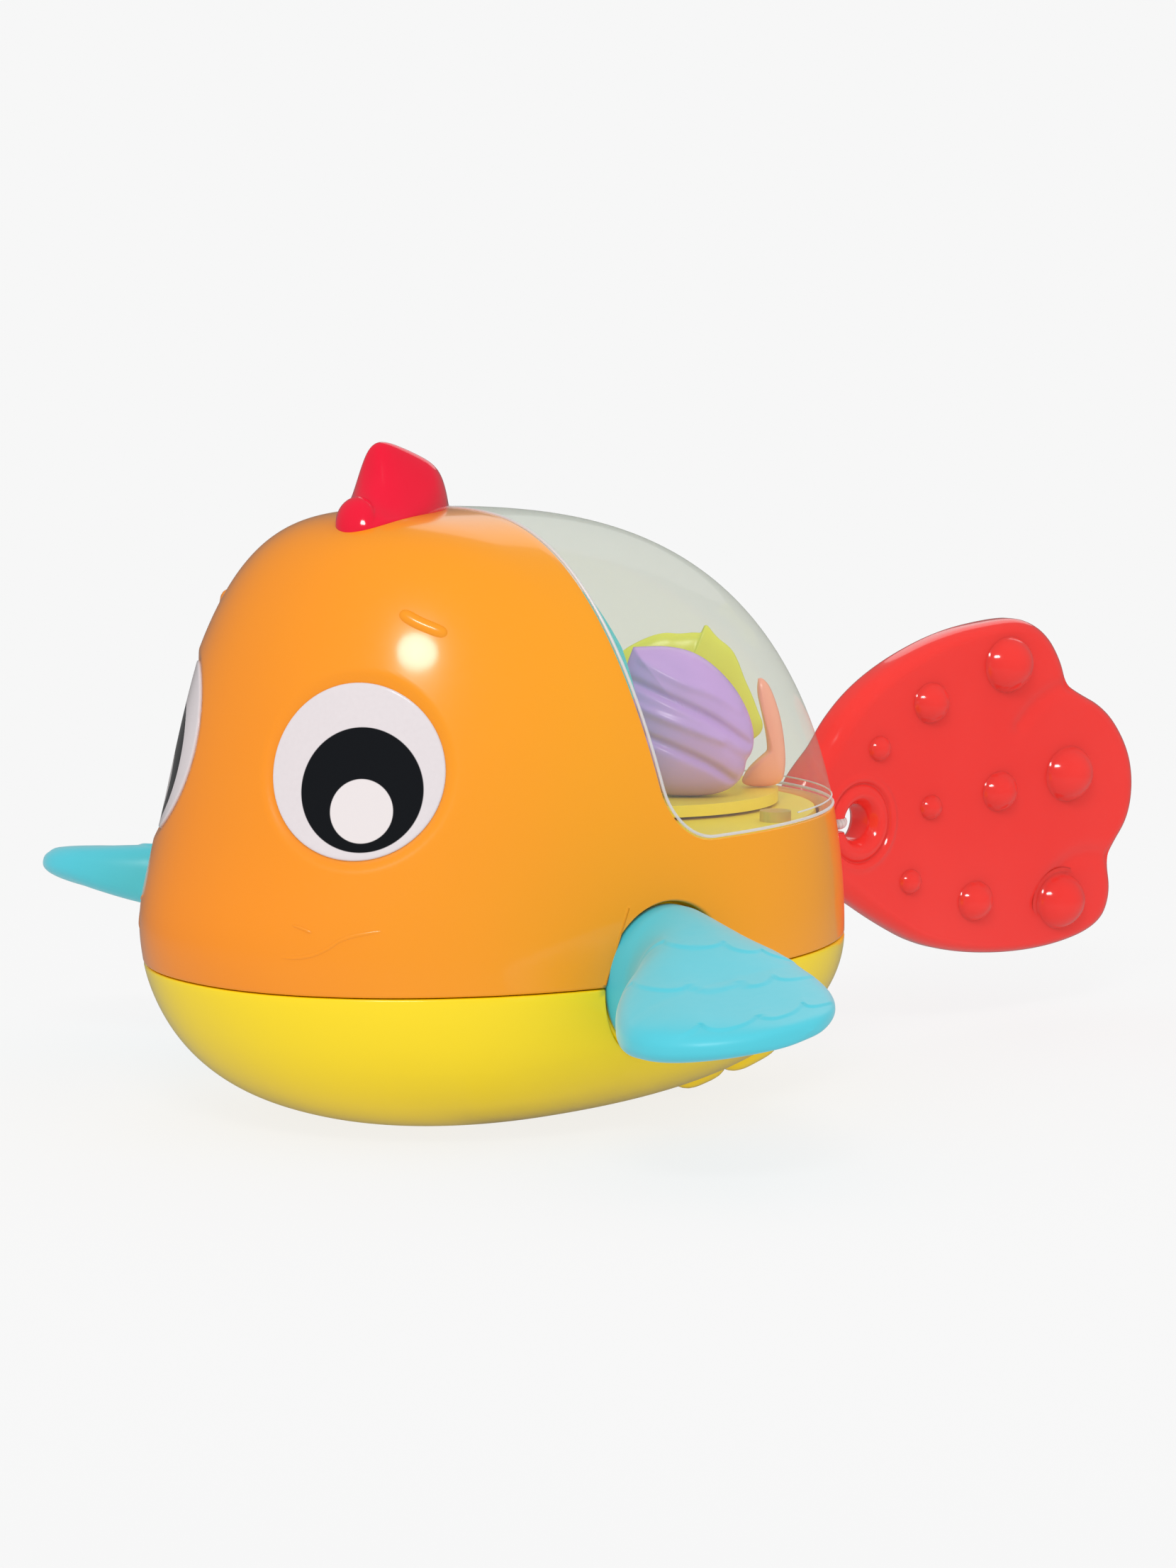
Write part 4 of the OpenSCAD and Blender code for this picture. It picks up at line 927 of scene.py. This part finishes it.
rim_rings = skin(t, u, np.array([RIM_DEEP[low] for _, low in box]))
for side, word in SIDES:
    rim = add_piece(
        f"panel_rim_{word}", rim_rings * (1, side, 1), capped(len(rim_rings), len(box)),
        inside_finishes["teal_panel"], smooth=False, flip=side < 0,
    )
    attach(rim, "casing")

# The cord's turns lie side by side on the drum, and its lead leaves them for the eyelet's lip.
DRUM_X, DRUM_Z, WOUND_R, WOUND_HALF_W, WOUND_TURNS = -28.0, SEAM_Z + 0.3, 8.5, 2.2, 3.0
turn = np.linspace(0, 2 * np.pi * WOUND_TURNS, 361)
winding_path = np.stack([
    DRUM_X + WOUND_R * np.cos(turn), np.linspace(-WOUND_HALF_W, WOUND_HALF_W, len(turn)),
    DRUM_Z + WOUND_R * np.sin(turn),
], 1)
winding = tube_piece("cord_turns", winding_path, INSIDE_CORD_R, cord_white, 12)
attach(winding, "drum")
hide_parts("cord_winding")
LEAVE = np.array([-26.86, 0, 32.92])
ELBOW = np.array([-53.92, 0, CORD_Z])
way = (ELBOW - LEAVE) / np.linalg.norm(ELBOW - LEAVE)
lead_path = smooth_line([LEAVE + 6 * way, ELBOW - 4 * way, ELBOW, (EYELET_X, 0, CORD_Z)], 90)
lead = tube_piece("cord_lead_inside", lead_path, INSIDE_CORD_R, cord_white, 16)
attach(lead, "casing")
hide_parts("inner_cord")

# Sea figures
# A purple shell, a yellow-green star and a coral branch, each moulded in satin plastic and pressed
# into the turntable. They turn past the window when the fish paddles.

LOOK_LEVEL = np.array([-np.cos(view_yaw), np.sin(view_yaw), 0])
LOOK_OUT = np.array([np.sin(view_yaw), np.cos(view_yaw), 0])
PILLOW_POWER, PILLOW_ROWS, FIGURE_COLUMNS = 2.2, 48, 239


def pillow(outline, middle, thick, relief):
    """Rings of a rounded pillow over an outline (right, up): from the middle of the front face
    over the edge to the middle of the back. Its half thickness falls as (1 - share^p)^(1/p)."""
    share = np.sin(np.linspace(0.0005, 1, PILLOW_ROWS) * np.pi / 2)[:, None, None]
    flat = middle + share * (outline - middle)
    fall = np.clip(1 - share[..., 0] ** PILLOW_POWER, 0, 1) ** (1 / PILLOW_POWER)
    half = thick * fall + 0 * flat[..., 0]
    front = half + (relief(flat) * np.clip(half / thick * 2, 0, 1) if relief else 0)
    return np.concatenate([np.dstack([flat, front]), np.dstack([flat, -half])[::-1][1:]])


def stand_figure(name, outline, middle, place, thick, finish, node, relief=None):
    """A figure that stands on the turntable and faces the side that the photograph shows."""
    rings = pillow(smooth_loop(outline, FIGURE_COLUMNS), np.asarray(middle, float), thick, relief)
    right, up, out = (rings[..., k:k + 1] for k in range(3))
    solid = place + right * LOOK_LEVEL + up * (0, 0, 1) + out * LOOK_OUT
    figure = add_piece(name, solid, capped(len(rings), FIGURE_COLUMNS), finish)
    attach(figure, "carousel")
    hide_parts(node)


def satin(name, pale, deep):
    """A satin moulded plastic in soft patches of two tones."""
    finish = Finish(name, Specular_IOR_Level=0.4)
    return finish.patchy(140, deep, pale).grained((700, 0.06, 0.22), (420, 0.02))


SHELL = np.array([
    (-8.4, 69.2), (-7.0, 69.3), (-2.9, 69.4), (1.0, 68.5), (4.4, 66.2), (7.4, 62.9), (9.3, 59.5),
    (10.2, 56.6), (10.3, 54.4), (9.9, 52.7), (9.1, 51.8), (8.9, 50.0), (7.8, 48.2), (6.1, 47.0),
    (3.5, 46.3), (0.0, 46.1), (-4.0, 46.3), (-7.5, 49.5), (-9.3, 54.5), (-9.9, 60.5), (-9.6, 66.0),
])
GROOVES = (
    ((-9.0, 64.5), (-1.0, 61.0), (4.0, 58.6), (9.5, 54.5)),
    ((-9.5, 57.0), (-3.0, 54.6), (3.5, 51.6), (7.0, 49.0)),
)
RIBS = (
    ((-8.0, 60.6), (-5.0, 59.4), (1.5, 57.0), (5.0, 55.5)),
    ((-7.5, 68.0), (-2.0, 64.6), (4.0, 62.8), (8.0, 60.0)),
)


RIB_H, RIB_W, GROOVE_DEEP, GROOVE_W = 0.5, 0.8, 0.9, 0.7


def near_line(flat, line, width):
    """1 on a line across the figure, falling to 0 over a width on both sides of it."""
    line = smooth_line(np.array(line), 60)
    gap = np.linalg.norm(flat[..., None, :] - line, axis=-1).min(-1)
    return np.exp(-((gap / width) ** 2))


def shell_relief(flat):
    """Soft ribs that stand out of the shell's face, and narrower grooves between them."""
    ribs = sum(near_line(flat, line, RIB_W) for line in RIBS)
    grooves = sum(near_line(flat, line, GROOVE_W) for line in GROOVES)
    return RIB_H * ribs - GROOVE_DEEP * grooves


purple = satin("purple_figure", (0.66, 0.41, 0.82), (0.58, 0.35, 0.75))
green = satin("green_figure", (0.80, 0.79, 0.09), (0.75, 0.76, 0.06))
coral = satin("coral_figure", (1.0, 0.45, 0.30), (0.98, 0.40, 0.26))
stand_figure(
    "sea_shell", SHELL, (0.5, 58.0), (-27.5, 13.6, 0), 7.0, purple, "shell_figure", shell_relief
)
STAR = np.array([
    (-9.0, 46.1), (-10.5, 52.0), (-9.0, 60.0), (-6.0, 66.0), (-1.5, 68.5), (1.6, 69.4), (3.8, 69.1),
    (6.3, 69.4), (7.6, 69.2), (8.0, 71.1), (9.8, 68.6), (12.2, 66.9), (13.4, 64.6), (14.3, 62.0),
    (15.6, 59.3), (16.6, 56.5), (17.4, 54.8), (17.0, 53.2), (15.2, 52.0), (11.0, 47.0), (9.0, 46.1),
])
stand_figure("sea_star", STAR, (2.5, 57.0), (-38, -6, 0), 2.6, green, "star_figure")
CORAL = np.array([
    (3.4, 63.2), (4.1, 63.4), (5.4, 61.9), (6.8, 58.0), (7.6, 53.8), (7.9, 49.5), (7.2, 46.2),
    (0.6, 46.2), (1.6, 48.8), (3.6, 50.7), (4.6, 51.5), (5.0, 52.1), (4.6, 55.0), (4.0, 57.8),
    (3.2, 61.2),
]) - (2.5, 0)
stand_figure("coral_branch", CORAL, (3.4, 52.0), (-42.4, 12.1, 0), 2.2, coral, "coral_figure")

# Flippers
# Soft teal plastic in a satin finish, each pressed on one end of the paddle axle. A round root sits
# in the arch and sweeps out into a thick blade with three rows of scales on its upper face.

# The rails are the blade's front and rear edges from above, as (ahead, out) from the root.
BLADE_AT = SIDE
LEFT_PITCH, RIGHT_PITCH = np.radians(3.4), np.radians(15.4)
FORE_RAIL = np.array([
    (11.3, -1.7), (11.2, 0.6), (11.3, 3.5), (13.2, 7.0), (16.6, 9.8), (20.8, 12.4), (25.0, 16.2),
    (28.6, 20.6), (30.9, 25.4), (31.0, 31.0), (27.6, 36.6), (21.8, 40.6), (16.0, 42.1),
    (11.6, 42.3),
])
REAR_RAIL = np.array([
    (-11.3, -1.7), (-11.2, 0.6), (-10.7, 3.5), (-9.6, 9.0), (-8.0, 15.0), (-6.0, 22.0),
    (-3.6, 29.0), (-0.4, 34.6), (3.6, 39.0), (8.0, 41.6), (11.4, 42.3),
])
# Heights of the upper and lower face over the axle, at distances out from the root.
TOP_OUT, TOP_Z = (-1.7, 0.6, 10, 24, 34, 42.4), (11.3, 11.2, 8.8, 5.6, 3.9, 2.4)
BOTTOM_OUT, BOTTOM_Z = (-1.7, 0.6, 8, 16, 26, 42.4), (-11.3, -11.2, -7.6, -3.8, -2.4, -1.6)
# The root turns into the blade over a span of its reach, and the tip rounds in from a share of its
# length. The blade droops to the front, and its lower face rises outwards and to the rear.
BLADE_OVER, TIP_FROM = (-1.0, 22.0), 0.86
FLATTER, DROOP, TILT = 0.42, 0.055, 0.07
TILT_BACK, TILT_OUT, TILT_FROM = 0.77, 0.64, 10
FLIPPER_COLUMNS, TIP_SHARE = 240, 0.1

teal_soft = Finish("teal_soft", Sheen_Weight=0.32, Sheen_Roughness=0.4)
teal_soft.patchy(70, (0.065, 0.565, 0.68), (0.08, 0.59, 0.71))
teal_soft.grained((600, 0.08, 0.34), (450, 0.02))

# Cusps of the three rows of scales, as distances (across, along) the blade's slanting middle line,
# and how far each scale bows out between its cusps. They start on the upper face, clear of the root
# and of both edges.
SLANT_X, SLANT_Y = 0.769, 0.639
SCALE_H, SCALE_FADE = 0.27, 3.5
SCALES_UP, SCALES_OUT, SCALES_ALONG = (0.3, 0.7), (5.0, 8.0), (1.0, 0.93)
SCALE_ROWS = (
    (np.array([(-1.0, 12.5), (7.5, 11.5), (13.0, 12.0), (19.0, 11.0)]), 3.0),
    (np.array([(-6.0, 25.0), (1.8, 27.1), (9.0, 25.4), (14.0, 22.5), (20.5, 17.5)]), 3.5),
    (np.array([(-7.0, 39.5), (2.8, 40.9), (11.0, 37.6), (17.5, 32.5), (23.0, 26.0)]), 4.0),
)


def scales(x, y):
    """Height of the scales over the blade: each row swells slowly towards its bowed edge and
    steps down at the edge. Between two cusps the edge is half of an ellipse."""
    across, along = SLANT_Y * y - SLANT_X * x, SLANT_Y * x + SLANT_X * y
    height = 0 * x
    for cusps, bow in SCALE_ROWS:
        k = np.clip(np.searchsorted(cusps[:, 0], across) - 1, 0, len(cusps) - 2)
        share = (across - cusps[k, 0]) / (cusps[k + 1, 0] - cusps[k, 0])
        edge = cusps[k, 1] + share * (cusps[k + 1, 1] - cusps[k, 1])
        edge = edge + bow * np.sqrt(np.clip(1 - (2 * share - 1) ** 2, 0, 1))
        inside = edge - along
        swell = smooth_step(inside, -0.1, 0.6) * np.exp(-np.maximum(inside, 0) / SCALE_FADE)
        height = height + SCALE_H * swell
    return height


def blade_rings():
    """Rings of a flipper from its root's face to its tip, between the two rails and the two
    heights. A ring turns from a circle into a flat round-edged section, whose front hangs lower
    than its rear."""
    sweeps = [np.linspace(0, np.pi / 2, count)[:-1] for count in (40, 30)]
    near_tip = 1 - TIP_SHARE * np.concatenate([np.cos(sweeps[0]), 1 - np.sin(sweeps[1])])
    v = np.unique(np.concatenate([np.linspace(0, 1 - TIP_SHARE, 150), near_tip]))
    fore, rear = (resample(smooth_line(r, 600), len(v), v) for r in (FORE_RAIL, REAR_RAIL))
    middle, half = (fore + rear) / 2, (fore - rear) / 2
    reach = middle[:, 1]
    blade = smooth_step(reach, *BLADE_OVER)
    round_in = np.sqrt(np.clip(1 - smooth_step(v, TIP_FROM, 1.0) ** 2, 0, 1))
    top, bottom = np.interp(reach, TOP_OUT, TOP_Z), np.interp(reach, BOTTOM_OUT, BOTTOM_Z)
    turn = full_turn(FLIPPER_COLUMNS)
    power = (1 - FLATTER * blade)[:, None]
    along = signed_power(np.cos(turn), power)
    up = signed_power(np.sin(turn), 0.55 + 0.45 * power)
    drop = -DROOP * blade[:, None] * (half[:, :1] * along + middle[:, :1])
    x = middle[:, :1] + half[:, :1] * along
    y = middle[:, 1:] + half[:, 1:] * along
    lift = TILT_OUT * (y - TILT_FROM) - TILT_BACK * (x - TILT_FROM)
    lift = TILT * blade[:, None] * lift
    bottom = bottom[:, None] + lift
    level, deep = (top[:, None] + bottom) / 2, (top[:, None] - bottom) / 2
    z = level + np.maximum(round_in[:, None], 0.01) * deep * up + drop
    scaled = smooth_step(up, *SCALES_UP) * smooth_step(y, *SCALES_OUT)
    z = z + scales(x, y) * scaled * smooth_step(np.abs(along), *SCALES_ALONG)
    return np.stack([x, y + BLADE_AT, z], -1)


rings = blade_rings()
for side, word, pitch in ((1, "left", LEFT_PITCH), (-1, "right", -RIGHT_PITCH)):
    x, y, z = rings[..., 0], rings[..., 1], rings[..., 2]
    placed = np.stack([
        AXLE_X + x * np.cos(pitch) + z * np.sin(pitch), side * y,
        SEAM_Z - x * np.sin(pitch) + z * np.cos(pitch),
    ], -1)
    faces = capped(len(rings), FLIPPER_COLUMNS)
    flipper = add_piece(f"flipper_{word}", placed, faces, teal_soft, flip=side > 0)
    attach(flipper, "paddles")
    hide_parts(f"{word}_flipper")

# Tail
# Soft glossy red plastic, slightly translucent: a thick plate with rounded edges, nine low domes
# and a ringed eye for the cord's knot. A groove from the eye to the nose lets the cord lie in it.

TAIL_EYE, TAIL_EYE_R, TAIL_HALF = np.array([-74.8, CORD_Z]), 3.0, 3.5
EDGE, EDGE_FLAT, HOLE_EDGE, GROOVE_R = 3.2, 0.3, 1.85, 1.15
RING_W, RING_RISE, RING_FADE = 5.0, 0.35, (6.3, 6.9)
LOW_RING_R, LOW_RING_W, LOW_RING_H = 7.4, 0.6, 0.25
CREASE_W, CREASE_DEEP = 1.3, 0.45
TAIL_COLUMNS = 430
CROWD_LEAST, CROWD_MORE, CROWD_REACH = 0.3, 2.2, 3.2
TAIL = np.array([
    (-60.1, 36.6), (-60.5, 40.6), (-62.2, 44.6), (-65.2, 47.6), (-67.8, 49.8), (-71.1, 54.1),
    (-77.3, 59.1), (-85.9, 63.2), (-96.8, 66.5), (-108.0, 67.7), (-113.6, 67.5), (-118.8, 64.9),
    (-122.2, 60.4), (-123.6, 56.2), (-126.0, 54.6), (-133.8, 51.0), (-139.0, 44.4),
    (-140.6, 38.2), (-139.6, 32.0), (-135.8, 27.6), (-134.2, 25.2), (-135.6, 18.8),
    (-132.6, 13.6), (-120.8, 11.2), (-106.4, 11.4), (-92.3, 13.9), (-82.3, 18.8), (-73.3, 24.2),
    (-66.4, 27.4), (-62.4, 30.4), (-60.5, 33.4), (-60.1, 36.6),
])
CREASES = (
    ((-124.5, 55.8), (-119.5, 55.6), (-114.5, 53.3), (-111.0, 50.0)),
    ((-134.5, 25.6), (-129.0, 27.0), (-124.0, 26.5), (-119.0, 23.5), (-116.0, 19.5)),
)

red_tail = Finish(
    "red_tail", Subsurface_Weight=0.2, Subsurface_Scale=0.003, Coat_Weight=0.8, Coat_Roughness=0.06
)
red_tail.shader.inputs["Subsurface Radius"].default_value = (1.0, 0.25, 0.15)
red_tail.patchy(40, (0.88, 0.032, 0.026), (0.94, 0.050, 0.040))
red_tail.grained((700, 0.05, 0.13), (200, 0.015))

# The outline's points crowd near the nose. A ray runs from the eye's wall to each of them.
outline = smooth_line(TAIL, 4000)
nose_gap = np.linalg.norm(outline - TAIL[0], axis=1)
crowd = np.cumsum(CROWD_LEAST + CROWD_MORE * np.exp(-((nose_gap / CROWD_REACH) ** 2)))
even = np.linspace(crowd[0], crowd[-1], TAIL_COLUMNS + 1)[:-1]
outer = resample(outline, TAIL_COLUMNS, np.interp(even, crowd, np.linspace(0, 1, len(outline))))
spoke = outer - TAIL_EYE
turn = np.unwrap(np.arctan2(spoke[:, 1], spoke[:, 0]))
inner = TAIL_EYE + TAIL_EYE_R * np.stack([np.cos(turn), np.sin(turn)], 1)
reach = np.linalg.norm(outer - inner, axis=1)[:, None]

# Rows of points lie at distances along the rays and at half thicknesses: over the eye's rounded
# rim, over the ring round the eye, over the plate and over its rounded edge.
edge_turn = np.linspace(0, np.pi / 2, 12)
edge_in = EDGE * (1 - np.sin(edge_turn))
edge_half = TAIL_HALF - EDGE + EDGE * np.cos(edge_turn)
edge_half = edge_half * (TAIL_HALF - EDGE_FLAT) / TAIL_HALF + EDGE_FLAT * (edge_turn < 1.5)
hole_turn = np.linspace(0, np.pi / 2, 8)
hole_in = HOLE_EDGE * (1 - np.cos(hole_turn))
hole_half = TAIL_HALF - HOLE_EDGE + HOLE_EDGE * np.sin(hole_turn)
ring_band = np.minimum(RING_W, 0.7 * (reach - EDGE - HOLE_EDGE))
ring_rows, flat_rows = np.linspace(0, 1, 26)[1:], np.linspace(0, 1, 70)[1:-1]
at = np.concatenate([
    hole_in + 0 * reach,
    HOLE_EDGE + ring_rows * ring_band,
    HOLE_EDGE + ring_band + flat_rows * (reach - EDGE - HOLE_EDGE - ring_band),
    reach - edge_in,
], 1).T
half = np.concatenate([hole_half, np.full(len(ring_rows) + len(flat_rows), TAIL_HALF), edge_half])
flat = inner + (at / reach.T)[..., None] * (outer - inner)
x, z = flat[..., 0], flat[..., 1]
from_eye = np.hypot(x - TAIL_EYE[0], z - TAIL_EYE[1])
ring_top = TAIL_EYE_R + HOLE_EDGE
round_top = np.sqrt(np.maximum(HOLE_EDGE ** 2 - (from_eye - ring_top) ** 2, 0.5))
rise = (RING_RISE - HOLE_EDGE + round_top) * (1 - smooth_step(from_eye, *RING_FADE))
rise = rise + LOW_RING_H * np.exp(-(((from_eye - LOW_RING_R) / LOW_RING_W) ** 2))
folds = sum(near_line(flat, line, CREASE_W) for line in CREASES)
face = half[:, None] + rise * smooth_step(half[:, None], 1.65, TAIL_HALF)
face = face - CREASE_DEEP * folds * (half[:, None] > 3)
in_groove = (x > TAIL_EYE[0]) & (np.abs(z - CORD_Z) < GROOVE_R)
floor_of_groove = -np.sqrt(np.clip(GROOVE_R ** 2 - (z - CORD_Z) ** 2, 0, None))
near_face = np.where(in_groove, np.minimum(face, floor_of_groove), face)
rings = np.concatenate([np.stack([x, near_face, z], -1), np.stack([x, -face, z], -1)[-2::-1]])
faces = grid_faces(len(rings), TAIL_COLUMNS, wrap_rows=True)
tail = add_piece("tail_plate", rings, faces, red_tail)
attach(tail, "tail")
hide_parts("tail_fin")

# Nine domes in three columns, as shares of the tail's height: radius, and place behind and above
# the point that their fan starts from.
DOMES_FROM, DOMES_SPAN = np.array([-73.565, CORD_Z]), 56.6
DOME_SHARES = np.array([
    (.036, .09, .211), (.036, .3, .023), (.036, .22, -.188), (.059, .296, .328),
    (.059, .582, .046), (.059, .488, -.271), (.082, .612, .418), (.082, .874, .074),
    (.082, .849, -.307),
])
DOME_ROWS, DOME_COLUMNS, DOME_LONGER = 26, 64, 1.16
DOME_RISE, DOME_POWER, DOME_LIFT, DOME_DROP, DOME_RIM = 0.75, 0.8, 0.12, 0.25, (1.0, 1.25)
FOOT_GROOVE_AT, FOOT_GROOVE_W, FOOT_GROOVE_DEEP = 1.04, 0.05, 0.22


def dome(r, behind, above):
    """Rings of a low dome. Its height falls from the middle as (1 - s^2)^0.8, where s is the share
    of its radius. A fine groove runs round its foot, and its rim drops into the plate."""
    s = np.linspace(0.02, DOME_RIM[1], DOME_ROWS)[:, None]
    lift = DOME_RISE * r * np.clip(1 - s ** 2, 0, 1) ** DOME_POWER
    lift = lift - DOME_DROP * smooth_step(s, *DOME_RIM) + DOME_LIFT
    lift = lift - FOOT_GROOVE_DEEP * np.exp(-(((s - FOOT_GROOVE_AT) / FOOT_GROOVE_W) ** 2))
    a = full_turn(DOME_COLUMNS)
    x = DOMES_FROM[0] - behind + DOME_LONGER * r * s * np.cos(a)
    z = DOMES_FROM[1] + above + r * s * np.sin(a)
    return np.stack([x, TAIL_HALF + lift + 0 * a, z], -1)


rings = np.concatenate([dome(*sizes) for sizes in DOMES_SPAN * DOME_SHARES])
faces = []
for first in range(0, len(rings), DOME_ROWS):
    faces += capped(DOME_ROWS, DOME_COLUMNS, first * DOME_COLUMNS)
for side, word in SIDES:
    domes = add_piece(
        f"tail_domes_{word}", rings * (1, side, 1), faces, red_tail, flip=side > 0
    )
    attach(domes, "tail")

# Studio
# A pale floor that keeps a faint shadow near the fish, a soft oval lamp above the camera, a wide
# weak one behind the fish, and an even pale surround that glossy surfaces mirror more dimly.

scene = bpy.context.scene
scene.view_settings.view_transform = "Standard"
PALE, MIRRORED = 0.93, 0.16


class Surround(Finish):
    """The world's nodes: an even pale light, dimmer in reflections."""

    def __init__(self, pale, mirrored):
        scene.world = bpy.data.worlds.new("surround")
        scene.world.use_nodes = True
        self.tree = scene.world.node_tree
        self.shader = self.tree.nodes["Background"]
        strength = self.ray("Is Glossy Ray") * (mirrored - pale) + pale
        self.set(Color=(1, 1, 1), Strength=strength)


Surround(PALE, MIRRORED)

# Far from the fish the floor glows as evenly as the surround; near it, its own shade shows more.
SHADE_X, SHADE_R, FLOOR_HALF = -0.03, 0.10, 60000
GLOW_LEAST, GLOW_SEEN, GLOW_CLEAR = 0.7, 0.16, 0.14
floor_pale = Finish("floor_pale", Roughness=0.9, Specular_IOR_Level=0.0)
floor_pale.set(Base_Color=(0.88, 0.88, 0.88))
x, y, _ = floor_pale.axes(floor_pale.place())
away = ((x - SHADE_X) ** 2 + y ** 2) ** 0.5
clear_of_fish = ((away - SHADE_R) * 5).clamped()
glossy = floor_pale.ray("Is Glossy Ray")
direct = floor_pale.ray("Is Camera Ray") + floor_pale.ray("Is Transmission Ray")
seen = (direct + glossy).clamped()
glow = floor_pale.node("ShaderNodeEmission", {}, (1, 1, 1, 1), glossy * (MIRRORED - PALE) + PALE)
mixed = floor_pale.node(
    "ShaderNodeMixShader", {}, seen * (clear_of_fish * GLOW_CLEAR + GLOW_SEEN) + GLOW_LEAST,
    Value(floor_pale, floor_pale.shader.outputs[0]), glow,
)
floor_pale.feed(floor_pale.tree.nodes["Material Output"].inputs[0], mixed)
corners = np.array([(-1, -1, 0), (1, -1, 0), (1, 1, 0), (-1, 1, 0)]) * FLOOR_HALF
add_piece("floor", corners, [[0, 1, 2, 3]], floor_pale)

LAMP_DISTANCE, LAMP_AIM_Z = 1.2, 0.04


def softbox(name, azimuth, rise, width, height, power):
    """An oval lamp that faces the fish from an azimuth and a rise in degrees."""
    a, e = np.radians(azimuth), np.radians(rise)
    at = Vector((np.cos(a) * np.cos(e), np.sin(a) * np.cos(e), np.sin(e)))
    lamp = bpy.data.objects.new(name, bpy.data.lights.new(name, "AREA"))
    lamp.data.shape, lamp.data.energy = "ELLIPSE", power
    lamp.data.size, lamp.data.size_y = width, height
    lamp.location = LAMP_DISTANCE * at + Vector((0, 0, LAMP_AIM_Z))
    lamp.rotation_euler = at.to_track_quat("Z", "Y").to_euler()
    scene.collection.objects.link(lamp)


softbox("key", 46, 41, 0.40, 0.23, 3.6)
softbox("rear", -145, 31, 0.8, 0.8, 1.0)
